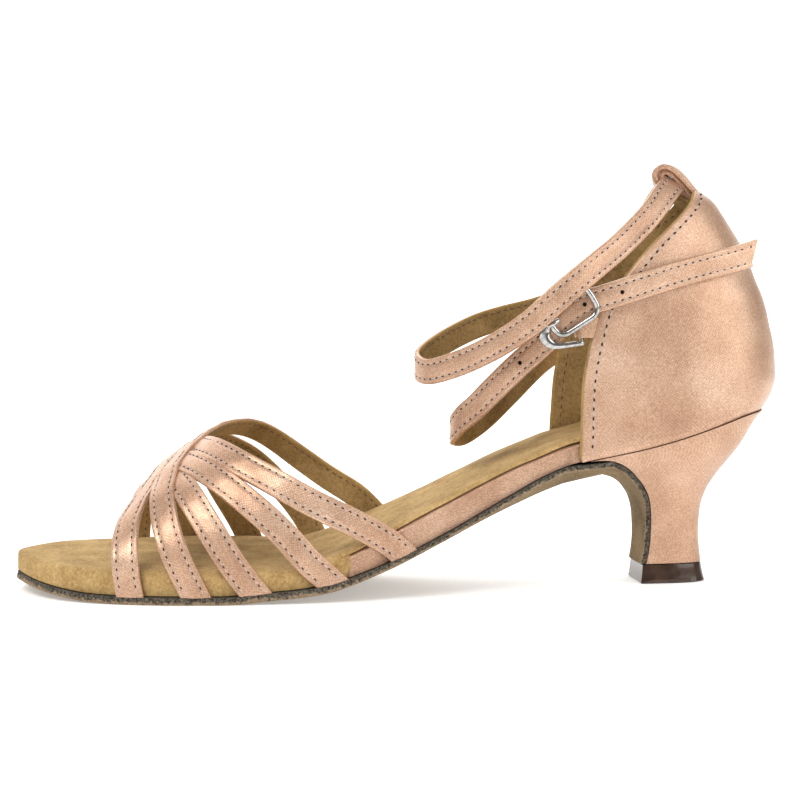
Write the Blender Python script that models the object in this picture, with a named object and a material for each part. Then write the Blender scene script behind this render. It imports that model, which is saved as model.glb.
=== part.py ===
# Ballroom dance shoe for the left foot: open toe, five crossed vamp straps, closed heel,
# ankle strap that runs twice round the ankle, and a curved heel.
# Metres. X runs from toe to heel, +Y is the inner (medial) side, Z is up from the floor.
import math

import bmesh
import bpy
from mathutils import Vector

# Sizes of the whole shoe
shoe_length = 0.232
ball_width = 0.0755
heel_rise = 0.0514
toe_spring = 0.0042
clearance = 0.0003

# Sizes of the sole
outsole_thickness = 0.0021
outsole_edge = 0.0015
breast_thickness = 0.0018
build_height = 0.0083
sock_thickness = 0.0012
footbed_edge_radius = 0.0034
board_edge_radius = 0.0014
footbed_lean = 0.0012
pad_end = 0.42

# Sizes of the heel
tip_flare = 0.0006

# Sizes of the upper
counter_wall = 0.0020
counter_height = 0.0657
quarter_front = 0.710
plan_end = 0.980
strap_thickness = 0.0015
vamp_strap_width = 0.0080
instep_height = 0.060
crossing_step = 0.0004
crossing_reach = 0.65
ankle_strap_width = 0.0076
ankle_span = 0.0095
ankle_height = 0.1240
buckle_ahead = 0.0073
buckle_level = 0.655
buckle_up = 0.0021
buckle_out = 0.0037
loop_width = 0.0130
loop_thickness = 0.0016
loop_bow = 28.0
loop_turn = 14.0

# Sizes of the buckle
wire_diameter = 0.0014
frame_length = 0.0155
frame_width = 0.0112
frame_corner = 0.0030
frame_tilt = 32.4
prong_length = 0.0036
tab_width = 0.0038
tab_thickness = 0.0010

# Plan of the sole: share of the length, then the outer and inner side as shares of the ball width
plan_columns = ("along", "lateral", "medial")
plan_rows = (
    (0.000, 0.065, 0.065),
    (0.015, -0.110, 0.220),
    (0.050, -0.275, 0.330),
    (0.100, -0.385, 0.410),
    (0.160, -0.452, 0.465),
    (0.220, -0.486, 0.495),
    (0.300, -0.500, 0.500),
    (0.380, -0.495, 0.436),
    (0.460, -0.460, 0.327),
    (0.540, -0.403, 0.245),
    (0.620, -0.363, 0.218),
    (0.700, -0.345, 0.242),
    (0.780, -0.340, 0.293),
    (0.860, -0.326, 0.316),
    (0.905, -0.296, 0.294),
    (0.945, -0.232, 0.235),
    (0.967, -0.150, 0.153),
    (0.980, 0.000, 0.000),
)

# Side line of the sole: share of the length, share of the toe spring, share of the heel rise,
# height of what stands on the outsole as a share of the build height, and the depth of the
# outsole's rounded belly as a share of the build height
side_columns = ("along", "spring", "rise", "build", "belly")
side_rows = (
    (0.00, 1.00, 0.000, 0.58, 0.00),
    (0.03, 0.62, 0.000, 0.78, 0.00),
    (0.06, 0.33, 0.000, 0.92, 0.00),
    (0.10, 0.07, 0.000, 1.00, 0.00),
    (0.14, 0.00, 0.000, 1.02, 0.00),
    (0.26, 0.00, 0.000, 1.00, 0.00),
    (0.32, 0.00, 0.021, 0.84, 0.00),
    (0.36, 0.00, 0.036, 0.78, 0.00),
    (0.39, 0.00, 0.057, 0.88, 0.00),
    (0.42, 0.00, 0.094, 0.98, 0.02),
    (0.46, 0.00, 0.158, 1.12, 0.04),
    (0.50, 0.00, 0.232, 1.21, 0.09),
    (0.545, 0.00, 0.328, 1.23, 0.15),
    (0.59, 0.00, 0.435, 1.18, 0.25),
    (0.63, 0.00, 0.535, 1.08, 0.38),
    (0.67, 0.00, 0.630, 0.94, 0.50),
    (0.70, 0.00, 0.685, 0.91, 0.55),
    (0.73, 0.00, 0.718, 0.92, 0.54),
    (0.76, 0.00, 0.744, 0.96, 0.52),
    (0.80, 0.00, 0.780, 0.95, 0.40),
    (0.85, 0.00, 0.838, 0.83, 0.30),
    (0.90, 0.00, 0.908, 0.68, 0.20),
    (0.95, 0.00, 0.972, 0.50, 0.10),
    (1.00, 0.00, 1.000, 0.42, 0.00),
)

# Heel, from tip to seat: front and back as shares of the length, their heights as shares of the
# heel rise, half the width as a share of the ball width, how square the section's back is, how
# far the section follows the plan of the sole, and the belly of the sole down the heel's front
heel_columns = ("section", "front", "front_up", "back", "back_up", "half", "square", "plan", "belly")
heel_rows = (
    (0, 0.8195, 0.119, 0.8995, 0.119, 0.112, 2.8, 0.00, 0.00),
    (1, 0.8225, 0.195, 0.8970, 0.200, 0.117, 2.7, 0.00, 0.00),
    (2, 0.8240, 0.290, 0.8955, 0.305, 0.124, 2.7, 0.00, 0.00),
    (3, 0.8235, 0.400, 0.8970, 0.425, 0.137, 2.7, 0.00, 0.00),
    (4, 0.8200, 0.495, 0.9030, 0.535, 0.160, 2.7, 0.00, 0.00),
    (5, 0.8115, 0.573, 0.9145, 0.635, 0.191, 2.7, 0.05, 0.05),
    (6, 0.7975, 0.645, 0.9280, 0.728, 0.228, 2.7, 0.20, 0.14),
    (7, 0.7800, 0.703, 0.9425, 0.820, 0.265, 2.8, 0.50, 0.32),
    (8, 0.7560, 0.738, 0.9560, 0.905, 0.300, 2.8, 0.80, 0.44),
    (9, 0.7300, 0.747, 0.9800, 1.036, 0.330, 2.8, 1.00, 0.52),
)

# Counter, from the seam on the heel to its top: level as a share of the counter's height, back
# as a share of the length, outer and inner half widths as shares of the ball width, front edges
# of the outer and inner quarter as shares of the length, how square the section is, and how
# much of the seam's slope and plan is left
counter_columns = ("level", "back", "lateral", "medial", "edge_out", "edge_in", "square", "seam")
counter_rows = (
    (0.000, 0.980, 0.340, 0.290, 0.7190, 0.7130, 2.8, 1.00),
    (0.075, 0.991, 0.342, 0.298, 0.7205, 0.7135, 2.8, 0.85),
    (0.150, 0.996, 0.343, 0.306, 0.7210, 0.7160, 2.8, 0.70),
    (0.225, 0.995, 0.342, 0.311, 0.7225, 0.7195, 2.8, 0.50),
    (0.300, 0.993, 0.340, 0.314, 0.7270, 0.7260, 2.7, 0.32),
    (0.375, 0.988, 0.337, 0.315, 0.7340, 0.7330, 2.7, 0.16),
    (0.450, 0.983, 0.333, 0.314, 0.7420, 0.7410, 2.7, 0.05),
    (0.525, 0.976, 0.328, 0.311, 0.7560, 0.7550, 2.7, 0.00),
    (0.600, 0.967, 0.322, 0.306, 0.7750, 0.7740, 2.6, 0.00),
    (0.675, 0.959, 0.314, 0.299, 0.7930, 0.7920, 2.6, 0.00),
    (0.750, 0.949, 0.304, 0.290, 0.8130, 0.8120, 2.5, 0.00),
    (0.825, 0.936, 0.293, 0.280, 0.8360, 0.8350, 2.5, 0.00),
    (0.900, 0.922, 0.280, 0.268, 0.8590, 0.8660, 2.5, 0.00),
    (0.955, 0.911, 0.268, 0.258, 0.8730, 0.8780, 2.5, 0.00),
    (1.000, 0.894, 0.255, 0.247, 0.8800, 0.8830, 2.5, 0.00),
)

# Back loop, from inside the wall, forward over the strap and down to the lining: shares of the
# length along the shoe, and of the counter's height above the seam
loop_columns = ("along", "level")
loop_rows = (
    (0.9180, 0.905),
    (0.9060, 0.955),
    (0.8905, 1.000),
    (0.8825, 1.035),
    (0.8735, 1.075),
    (0.8635, 1.104),
    (0.8530, 1.116),
    (0.8440, 1.104),
    (0.8400, 1.078),
    (0.8420, 1.046),
    (0.8495, 1.016),
    (0.8620, 0.982),
    (0.8800, 0.948),
    (0.8990, 0.912),
    (0.9150, 0.880),
)

# Instep of the last over the straps: height over the floor as a share of the instep height
last_columns = ("along", "instep")
last_rows = (
    (0.08, 0.32),
    (0.11, 0.38),
    (0.14, 0.455),
    (0.17, 0.545),
    (0.20, 0.635),
    (0.24, 0.750),
    (0.275, 0.840),
    (0.32, 0.920),
    (0.38, 1.000),
    (0.45, 1.080),
    (0.52, 1.150),
)


# Vamp straps, from the outer foot over the instep to the inner foot. Around is 0 on the middle of
# the instep, 1 at the footbed's side and 2 down on the outsole; along is a share of the length
strap_columns = ("around", "along")
front_outer_strap = (
    (-2.00, 0.147), (-1.00, 0.140), (-0.67, 0.140), (-0.45, 0.147), (-0.28, 0.159), (-0.12, 0.184),
    (0.05, 0.214), (0.25, 0.243), (0.46, 0.273), (0.60, 0.306), (0.75, 0.341), (0.87, 0.370),
    (1.00, 0.397), (2.00, 0.404),
)
second_outer_strap = (
    (-2.00, 0.229), (-1.00, 0.210), (-0.92, 0.202), (-0.75, 0.191), (-0.55, 0.186), (-0.40, 0.187), (-0.24, 0.198),
    (-0.09, 0.221), (0.06, 0.243), (0.20, 0.265), (0.31, 0.289), (0.43, 0.316), (0.62, 0.361),
    (0.80, 0.411), (1.00, 0.470), (2.00, 0.492),
)
third_outer_strap = (
    (-2.00, 0.301), (-1.00, 0.275), (-0.90, 0.260), (-0.70, 0.232), (-0.41, 0.209), (-0.24, 0.197), (-0.05, 0.185),
    (0.15, 0.175), (0.40, 0.166), (0.65, 0.159), (1.00, 0.152), (2.00, 0.152),
)
fourth_outer_strap = (
    (-2.00, 0.398), (-1.00, 0.367), (-0.90, 0.346), (-0.77, 0.306), (-0.58, 0.261), (-0.37, 0.230), (-0.22, 0.213),
    (-0.05, 0.203), (0.15, 0.198), (0.45, 0.202), (0.74, 0.211), (1.00, 0.222), (2.00, 0.226),
)
rear_outer_strap = (
    (-2.00, 0.489), (-1.00, 0.456), (-0.93, 0.433), (-0.85, 0.401), (-0.69, 0.338), (-0.49, 0.277), (-0.25, 0.243),
    (-0.07, 0.230), (0.15, 0.226), (0.45, 0.242), (0.77, 0.269), (0.87, 0.287), (1.00, 0.309),
    (2.00, 0.318),
)
# Straps from the lowest to the topmost where they cross
crossing_order = (
    third_outer_strap, fourth_outer_strap, rear_outer_strap, front_outer_strap, second_outer_strap,
)

# Ankle strap, from the inner quarter round the front, through the back loop, round again and
# through the buckle to its free end: share of the length, side as a share of half the ankle,
# height as a share of the ankle height, and degrees that its face leans up
ankle_columns = ("along", "side", "height", "lean")
ankle_rows = (
    (0.7600, 1.030, 0.707, 0),
    (0.7300, 1.045, 0.689, 0),
    (0.6950, 1.025, 0.668, 0),
    (0.6480, 0.905, 0.648, 0),
    (0.6110, 0.745, 0.629, 0),
    (0.5730, 0.505, 0.600, 0),
    (0.5400, 0.240, 0.567, 0),
    (0.5210, 0.000, 0.538, 0),
    (0.5270, -0.240, 0.524, 0),
    (0.5450, -0.440, 0.530, 0),
    (0.5800, -0.720, 0.559, 0),
    (0.6160, -1.010, 0.600, 0),
    (0.6480, -1.220, 0.646, 0),
    (0.6720, -1.275, 0.688, 0),
    (0.6970, -1.275, 0.729, 2),
    (0.7310, -1.180, 0.778, 5),
    (0.7680, -0.980, 0.829, 10),
    (0.8100, -0.690, 0.896, 24),
    (0.8415, -0.400, 0.960, 44),
    (0.8550, -0.200, 0.978, 54),
    (0.8615, 0.000, 0.982, 56),
    (0.8630, 0.200, 0.977, 54),
    (0.8580, 0.460, 0.957, 42),
    (0.8480, 0.820, 0.908, 22),
    (0.8320, 1.050, 0.836, 8),
    (0.7970, 1.170, 0.713, 0),
    (0.7640, 1.190, 0.630, 0),
    (0.7320, 1.130, 0.573, 0),
    (0.6990, 0.990, 0.529, 0),
    (0.6600, 0.740, 0.466, 0),
    (0.6210, 0.420, 0.408, 0),
    (0.5850, 0.120, 0.371, 0),
    (0.5660, -0.110, 0.375, 0),
    (0.5730, -0.340, 0.407, 0),
    (0.5910, -0.520, 0.443, 0),
    (0.6070, -0.640, 0.478, 0),
    (0.6350, -0.820, 0.536, 0),
    (0.6680, -0.985, 0.597, 0),
    (0.6940, -1.050, 0.655, 0),
    (0.7190, -1.065, 0.688, 0),
    (0.7500, -1.065, 0.707, 0),
    (0.7850, -1.045, 0.727, 0),
    (0.8520, -0.955, 0.764, 0),
    (0.9200, -0.800, 0.795, 0),
    (0.9470, -0.715, 0.809, 0),
)

# Hook, from the buckle's end bar round to the arm and into the tab: reach along the frame and
# drop below its middle as shares of the frame's length, and its breadth in wires
hook_columns = ("reach", "drop", "breadth")
hook_rows = (
    (-0.540, -0.010, 1.3),
    (-0.590, 0.005, 1.5),
    (-0.655, 0.070, 1.7),
    (-0.695, 0.185, 1.7),
    (-0.670, 0.300, 1.5),
    (-0.590, 0.395, 1.2),
    (-0.420, 0.490, 1.0),
    (-0.270, 0.560, 1.0),
    (-0.150, 0.615, 1.0),
)


def finish(name, colour, roughness, metallic=0.0):
    material = bpy.data.materials.new(name)
    material.use_nodes = True
    shader = material.node_tree.nodes["Principled BSDF"]
    shader.inputs["Base Color"].default_value = (*colour, 1.0)
    shader.inputs["Roughness"].default_value = roughness
    shader.inputs["Metallic"].default_value = metallic
    return material


def slopes(xs, ys):
    # Slopes of a smooth curve that never overshoots its rows
    steps = [b - a for a, b in zip(xs, xs[1:])]
    rates = [(d - c) / h for c, d, h in zip(ys, ys[1:], steps)]
    result = [rates[0]]
    for before, after, h0, h1 in zip(rates, rates[1:], steps, steps[1:]):
        if before * after <= 0.0:
            result.append(0.0)
        else:
            w0 = 2.0 * h1 + h0
            w1 = h1 + 2.0 * h0
            result.append((w0 + w1) / (w0 / before + w1 / after))
    return result + [rates[-1]]


def read_curve(xs, ys, at):
    at = min(max(at, xs[0]), xs[-1])
    tangents = slopes(xs, ys)
    k = max(i for i in range(len(xs) - 1) if xs[i] <= at or i == 0)
    h = xs[k + 1] - xs[k]
    t = (at - xs[k]) / h
    ease = t * t * (3.0 - 2.0 * t)
    rise = ys[k] + (ys[k + 1] - ys[k]) * ease
    bend_in = tangents[k] * h * t * (1.0 - t) ** 2
    bend_out = tangents[k + 1] * h * t * t * (1.0 - t)
    return rise + bend_in - bend_out


def read_table(columns, rows, column, at):
    k = columns.index(column)
    return read_curve([row[0] for row in rows], [row[k] for row in rows], at)


def turn_of(along):
    # The plan is round at both ends, so it is read by angle and not by length
    return math.acos(1.0 - 2.0 * min(max(along / plan_end, 0.0), 1.0))


plan_turns = [turn_of(row[0]) for row in plan_rows]


def plan_side(column, along):
    k = plan_columns.index(column)
    return ball_width * read_curve(plan_turns, [row[k] for row in plan_rows], turn_of(along))


def side_line(column, along):
    return read_table(side_columns, side_rows, column, along)


middle_share = max(row[counter_columns.index("back")] for row in counter_rows) / 2


def place(along):
    return (along - middle_share) * shoe_length


def share(x):
    return x / shoe_length + middle_share


def outsole_top(along):
    return (
        outsole_thickness
        + toe_spring * side_line("spring", along)
        + heel_rise * side_line("rise", along)
    )


def footbed_top(along):
    return outsole_top(along) + build_height * side_line("build", along)


def seat_back():
    return outsole_top(plan_end) + clearance


def inset_plan(along, inset):
    # Side of the plan moved in: x, outer y, inner y
    turn = turn_of(along)
    x = place(along) + inset * math.cos(turn) ** 3
    inward = inset * min(1.0, 1.6 * math.sin(turn))
    return x, plan_side("lateral", along) + inward, plan_side("medial", along) - inward


def new_object(name, mesh, material):
    bmesh.ops.recalc_face_normals(mesh, faces=mesh.faces)
    data = bpy.data.meshes.new(name)
    mesh.to_mesh(data)
    mesh.free()
    data.materials.append(material)
    data.shade_smooth()
    data.set_sharp_from_angle(angle=math.radians(40))
    body = bpy.data.objects.new(name, data)
    bpy.context.collection.objects.link(body)
    return body


def fill_across(mesh, ring):
    # Close a ring with strips from its first half across to its second half
    last = len(ring) - 1
    for i in range(last // 2):
        corners = (ring[i], ring[i + 1], ring[last - i - 1], ring[last - i])
        mesh.faces.new(corners if corners[1] != corners[2] else corners[:2] + corners[3:])


def loft(name, rings, material):
    # A closed body through rings of equal count, closed at both ends
    mesh = bmesh.new()
    rows = [[mesh.verts.new(point) for point in ring] for ring in rings]
    count = len(rows[0])
    for low, high in zip(rows, rows[1:]):
        for i in range(count):
            j = (i + 1) % count
            mesh.faces.new((low[i], low[j], high[j], high[i]))
    for ring in (rows[0][::-1], rows[-1]):
        if count > 12:
            fill_across(mesh, ring)
        else:
            mesh.faces.new(ring)
    return new_object(name, mesh, material)


def walled(name, outer, inner, material):
    # A closed wall between two grids of points
    mesh = bmesh.new()
    out = [[mesh.verts.new(point) for point in row] for row in outer]
    into = [[mesh.verts.new(point) for point in row] for row in inner]
    rows = len(out)
    columns = len(out[0])
    for i in range(rows - 1):
        for j in range(columns - 1):
            mesh.faces.new((out[i][j], out[i][j + 1], out[i + 1][j + 1], out[i + 1][j]))
            mesh.faces.new((into[i][j], into[i + 1][j], into[i + 1][j + 1], into[i][j + 1]))
    for j in range(columns - 1):
        mesh.faces.new((out[0][j], into[0][j], into[0][j + 1], out[0][j + 1]))
        mesh.faces.new((out[-1][j], out[-1][j + 1], into[-1][j + 1], into[-1][j]))
    for i in range(rows - 1):
        mesh.faces.new((out[i][0], out[i + 1][0], into[i + 1][0], into[i][0]))
        mesh.faces.new((out[i][-1], into[i][-1], into[i + 1][-1], out[i + 1][-1]))
    return new_object(name, mesh, material)


def join(body, tool):
    # Fuse a second body into the first
    union = body.modifiers.new("join", "BOOLEAN")
    union.operation = "UNION"
    union.solver = "EXACT"
    union.object = tool
    tool.hide_render = True
    tool.display_type = "WIRE"


def smooth_path(rows, per_span):
    # Points on a smooth curve through the rows, per_span to each span
    points = []
    last = len(rows) - 1
    for k in range(last):
        before = rows[max(k - 1, 0)]
        start = rows[k]
        end = rows[k + 1]
        after = rows[min(k + 2, last)]
        for step in range(per_span):
            t = step / per_span
            points.append(tuple(
                0.5 * (2 * b + (c - a) * t + (2 * a - 5 * b + 4 * c - d) * t ** 2
                       + (3 * b - a - 3 * c + d) * t ** 3)
                for a, b, c, d in zip(before, start, end, after)
            ))
    return points + [tuple(rows[-1])]


def ribbon(path, facings, width, thickness, cuts):
    # Rings of a flat strap: facings point out of its right side, and each cut turns its ring from
    # square across the strap towards a line, by a weight
    rings = []
    for k, point in enumerate(path):
        ahead = path[min(k + 1, len(path) - 1)] - path[max(k - 1, 0)]
        across = facings[k].cross(ahead).normalized() * (width / 2)
        weight, line = cuts[k]
        line = (line - facings[k] * line.dot(facings[k])).normalized()
        slant = line.dot(across) / (width / 2)
        if weight > 0.0 and abs(slant) > 0.2:
            across = across.lerp(line * (width / 2 / slant), weight)
        out = ahead.cross(across).normalized() * (thickness / 2)
        if out.dot(facings[k]) < 0.0:
            out = -out
        rings.append([point - across - out, point + across - out,
                      point + across + out, point - across + out])
    return rings


def slab_ring(x, lateral, medial, bottom, top, radius, lean):
    # Cross section of a flat layer with round upper edges; lean lifts the inner side
    middle = (lateral + medial) / 2
    half = (medial - lateral) / 2
    radius = min(radius, 0.9 * half, 0.7 * (top - bottom))

    def height(y):
        return top + lean * (y - middle) / half

    points = []
    for turn in (0, 30, 60, 90):
        angle = math.radians(turn)
        y = lateral + radius * (1.0 - math.cos(angle))
        points.append(Vector((x, y, height(y) - radius * (1.0 - math.sin(angle)))))
    flat = half - radius
    for step in (-0.6, -0.2, 0.2, 0.6):
        y = middle + flat * step
        points.append(Vector((x, y, height(y))))
    for turn in (90, 60, 30, 0):
        angle = math.radians(turn)
        y = medial - radius * (1.0 - math.cos(angle))
        points.append(Vector((x, y, height(y) - radius * (1.0 - math.sin(angle)))))
    for step in (1.0, 0.5, 0.0, -0.5, -1.0):
        points.append(Vector((x, middle + half * step, bottom)))
    return points


def even_turns(start, end, count):
    # Shares of the length that crowd together where the plan is round
    first = turn_of(start)
    last = turn_of(end)
    turns = [first + (last - first) * k / (count - 1) for k in range(count)]
    return [plan_end * (1.0 - math.cos(turn)) / 2.0 for turn in turns]


def heel_section(row, sides):
    # One section of the heel as points from the outer front corner round to the inner one
    section, front, front_up, back, back_up, half, square, plan, belly = row
    points = []
    for side, turn in sides:
        reach = math.sin(turn) ** (2.0 / square)
        along = front + (back - front) * reach
        swell = half * ball_width * abs(math.cos(turn)) ** (2.0 / square)
        column = "lateral" if side < 0 else "medial"
        width = swell + (abs(plan_side(column, min(along, plan_end))) - swell) * plan
        level = front_up + (back_up - front_up) * reach
        lift = heel_rise * level
        seat = outsole_top(along)
        points.append(Vector((place(along), side * width, lift + (seat - lift) * plan ** 3)))
    return points


def heel_sides(count):
    turns = [math.pi / 2 * k / count for k in range(count + 1)]
    turns[-1] = math.pi / 2
    outer = [(-1, turn) for turn in turns]
    inner = [(1, turn) for turn in reversed(turns[:-1])]
    return outer + inner


def make_outsole(material):
    edge_drop = []
    stations = even_turns(0.004, 0.700, 34)
    for along in stations:
        x, lateral, medial = inset_plan(along, 0.0)
        thick = outsole_thickness
        if along > 0.40:
            waist = min(1.0, (along - 0.40) / 0.12)
            thick += (outsole_edge - outsole_thickness) * waist
        deep = outsole_thickness + build_height * side_line("belly", along)
        edge_drop.append((x, outsole_top(along), lateral, medial, thick, deep))
    for row in reversed(heel_rows[:-1]):
        corner = heel_section(row, [(-1, 0.0), (1, 0.0)])
        deep = breast_thickness + build_height * row[-1]
        thin = min(outsole_edge, breast_thickness)
        edge_drop.append((corner[0].x, corner[0].z, corner[0].y, corner[1].y, thin, deep))
    path = smooth_path(edge_drop, 1)
    rings = []
    for k, (x, z, lateral, medial, thick, deep) in enumerate(path):
        ahead = path[min(k + 1, len(path) - 1)]
        behind = path[max(k - 1, 0)]
        way = Vector((ahead[0] - behind[0], 0.0, ahead[1] - behind[1])).normalized()
        if k == len(path) - 1:
            way = Vector((0.0, 0.0, -1.0))
        down = Vector((way.z, 0.0, -way.x))
        on_heel = k >= len(stations)
        start = Vector((x, 0.0, z)) + (down * clearance if on_heel else Vector())
        middle = (lateral + medial) / 2
        half = (medial - lateral) / 2
        ring = [start + Vector((0.0, middle + half * share_out, 0.0)) for share_out in (-1, -0.5, 0, 0.5, 1)]
        for share_out in (1, 0.92, 0.75, 0.5, 0.0, -0.5, -0.75, -0.92, -1):
            depth = thick + (deep - thick) * (1.0 - abs(share_out) ** 2.2)
            ring.append(start + down * depth + Vector((0.0, middle + half * share_out, 0.0)))
        rings.append(ring)
    return loft("outsole", rings, material)


def cup_side(column, along, gap):
    # Inside of the counter at its seam, less the gap, at one place along the shoe
    side = -1 if column == "lateral" else 1
    low = 0.0
    high = 1.0
    for halving in range(24):
        middle = (low + high) / 2
        if counter_point(counter_rows[0], side, middle, counter_wall + gap).x < place(along):
            low = middle
        else:
            high = middle
    return counter_point(counter_rows[0], side, low, counter_wall + gap).y


def beside_strap(along):
    # Room that the footbed leaves for the straps; there is none at the toe
    open_toe = min(1.0, max(0.0, (along - 0.02) / 0.09))
    return clearance + (strap_thickness + clearance) * open_toe


def layer_stations():
    # Stations of the footbed and the board with x, outer y and inner y: thick front part, waist
    # and heel seat, which lies inside the counter
    beside = strap_thickness + 2 * clearance
    gap = 2.4 * clearance
    front = [inset_plan(along, beside_strap(along)) for along in even_turns(0.002, pad_end, 24)]
    waist = [inset_plan(along, beside) for along in even_turns(pad_end + 0.0008, quarter_front - 0.012, 13)]
    seat = []
    last = share(place(plan_end) - counter_wall - gap)
    for along in (quarter_front - 0.006, quarter_front + 0.002):
        seat.append(inset_plan(along, counter_wall + gap))
    first = quarter_front + 0.012
    for k in range(14):
        along = first + (last - first) * math.sin(math.radians(86) * k / 13)
        seat.append((place(along), cup_side("lateral", along, gap), cup_side("medial", along, gap)))
    return front, waist, seat


def make_footbed(material):
    front, waist, seat = layer_stations()
    rings = []
    for stations, thin in ((front, False), (waist + seat, True)):
        for x, lateral, medial in stations:
            at = share(x)
            top = footbed_top(at)
            bottom = top - sock_thickness if thin else outsole_top(at) + clearance
            lean = footbed_lean * min(1.0, max(0.0, (pad_end - at) / 0.10)) * min(1.0, at / 0.08)
            rings.append(slab_ring(x, lateral, medial, bottom, top, footbed_edge_radius, lean))
    return loft("footbed", rings, material)


def make_board(material):
    front, waist, seat = layer_stations()
    rings = []
    for x, lateral, medial in waist[1:] + seat:
        at = share(x)
        top = footbed_top(at) - sock_thickness - clearance
        bottom = outsole_top(at) + clearance
        rings.append(slab_ring(x, lateral, medial, bottom, top, board_edge_radius, 0.0))
    return loft("insole_board", rings, material)


def make_heel(material):
    rings = []
    for low, high in zip(heel_rows, heel_rows[1:]):
        rings.append(heel_section(low, heel_sides(9)))
    rings.append(heel_section(heel_rows[-1], heel_sides(9)))
    return loft("heel", rings, material)


def make_heel_tip(material):
    foot = heel_rows[0]
    section, front, front_up, back, back_up, half, square, plan, belly = foot
    top = heel_rise * front_up - clearance
    rings = []
    for level, grow in ((0.0, tip_flare), (0.25, 0.7 * tip_flare), (1.0, 0.0)):
        start = place(front) - breast_thickness + 2 * clearance - grow
        end = place(back) + grow * 2
        ring = []
        for side, turn in heel_sides(9):
            reach = math.sin(turn) ** (2.0 / square)
            wide = half * ball_width + grow
            ring.append(Vector((start + (end - start) * reach,
                                side * wide * math.cos(turn) ** (2.0 / square), top * level)))
        rings.append(ring)
    return loft("heel_tip", rings, material)


def counter_point(row, side, reach, depth):
    # A point of the counter: reach 0 is the quarter's front edge and 1 the middle of the back
    level, back, lateral, medial, edge_out, edge_in, square, seam = row
    edge = edge_out if side < 0 else edge_in
    start = place(quarter_front)
    long = place(back) - depth - start
    shut = (place(edge) - start) / long
    first = math.asin(min(1.0, max(0.0, shut) ** (square / 2.0)))
    turn = first + (math.pi / 2 - first) * reach
    x_share = math.sin(turn) ** (2.0 / square)
    x = start + long * x_share
    half = (lateral if side < 0 else medial) * ball_width - depth
    width = half * abs(math.cos(turn)) ** (2.0 / square)
    column = "lateral" if side < 0 else "medial"
    plan_at = quarter_front + (plan_end - quarter_front) * x_share
    on_plan = max(0.0, abs(plan_side(column, plan_at)) - depth * min(1.0, 1.6 * math.cos(turn) + 0.2))
    width += (on_plan - width) * seam if reach < 1.0 else -width
    seat = outsole_top(min(share(x), plan_end)) + clearance
    z = seat_back() + counter_height * level + (seat - seat_back()) * seam
    return Vector((x, side * width, z))


def counter_grid(depth, count):
    grid = []
    for row in counter_rows:
        outer = [counter_point(row, -1, k / count, depth) for k in range(count)]
        middle = [counter_point(row, -1, 1.0, depth)]
        inner = [counter_point(row, 1, k / count, depth) for k in reversed(range(count))]
        grid.append(outer + middle + inner)
    return grid


def loop_rings():
    # The loop bends round the back of the ankle as the counter does
    rows = []
    for along, level in loop_rows:
        turn = math.radians(loop_turn) * min(1.0, max(0.0, (level - 0.95) / 0.12))
        rows.append((place(along), seat_back() + counter_height * level, math.tan(turn)))
    path = smooth_path(rows, 2)
    rings = []
    for k, (x, z, slant) in enumerate(path):
        ahead = path[min(k + 1, len(path) - 1)]
        behind = path[max(k - 1, 0)]
        way = Vector((ahead[0] - behind[0], 0.0, ahead[1] - behind[1])).normalized()
        out = Vector((-way.z, 0.0, way.x)) * (loop_thickness / 2)
        ring = []
        for side, steps in ((-1, (-1, -0.5, 0, 0.5, 1)), (1, (1, 0.5, 0, -0.5, -1))):
            for step in steps:
                y = step * loop_width / 2
                ring.append(Vector((x - loop_bow * y * y + slant * y, y, z)) + out * side)
        rings.append(ring)
    return rings


def make_counter(material):
    counter = walled("counter", counter_grid(0.0, 14), counter_grid(counter_wall, 14), material)
    loop = loft("loop_form", loop_rings(), material)
    join(counter, loop)
    return counter


def last_point(along, around):
    # The last under the straps: middle surface of a strap that lies on it
    lateral = plan_side("lateral", along) + strap_thickness / 2
    medial = plan_side("medial", along) - strap_thickness / 2
    edge = footbed_top(along) - 0.3 * footbed_edge_radius
    middle = (lateral + medial) / 2
    half = (medial - lateral) / 2
    turn = min(abs(around), 1.0) * math.pi / 2
    crown = instep_height * read_table(last_columns, last_rows, "instep", along) - edge
    y = middle + math.copysign(half * math.sin(turn), around)
    z = edge + crown * max(math.cos(turn), 0.0) ** 0.9
    if abs(around) > 1.0:
        z -= (abs(around) - 1.0) * (edge - outsole_top(along) - clearance)
    return Vector((place(along), y, z))


def last_facing(along, around):
    step = 0.004
    ahead = last_point(along + step, around) - last_point(along - step, around)
    across = last_point(along, around + step) - last_point(along, around - step)
    return ahead.cross(across).normalized()


def vamp_strap(order, rows):
    strap_steps = 26
    path = []
    facings = []
    cuts = []
    over = [-1.0 + 2.0 * k / strap_steps for k in range(strap_steps + 1)]
    for around in [-2.0, -1.5] + over + [1.5, 2.0]:
        along = read_table(strap_columns, rows, "along", around)
        facing = last_facing(along, around)
        lift = order * crossing_step * max(0.0, 1.0 - (around / crossing_reach) ** 2)
        path.append(last_point(along, around) + facing * lift)
        facings.append(facing)
        slope = (outsole_top(along + 0.01) - outsole_top(along - 0.01)) / (0.02 * shoe_length)
        cuts.append((min(1.0, max(0.0, abs(around) - 1.0)), Vector((1.0, 0.0, slope))))
    rings = ribbon(path, facings, vamp_strap_width, strap_thickness, cuts)
    for point in rings[0] + rings[-1]:
        point.z = outsole_top(share(point.x)) + 1.3 * clearance
    return rings


def make_vamp(material):
    bodies = []
    for order, rows in enumerate(crossing_order):
        name = "vamp_straps" if order == 0 else "strap_form_" + str(order)
        bodies.append(loft(name, vamp_strap(order, rows), material))
    for tool in bodies[1:]:
        join(bodies[0], tool)
    return bodies[0]


def ankle_half():
    # Half the ankle is half the counter near its top and half of what the strap spans beyond it
    return ball_width * counter_rows[-2][counter_columns.index("lateral")] + ankle_span / 2


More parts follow.
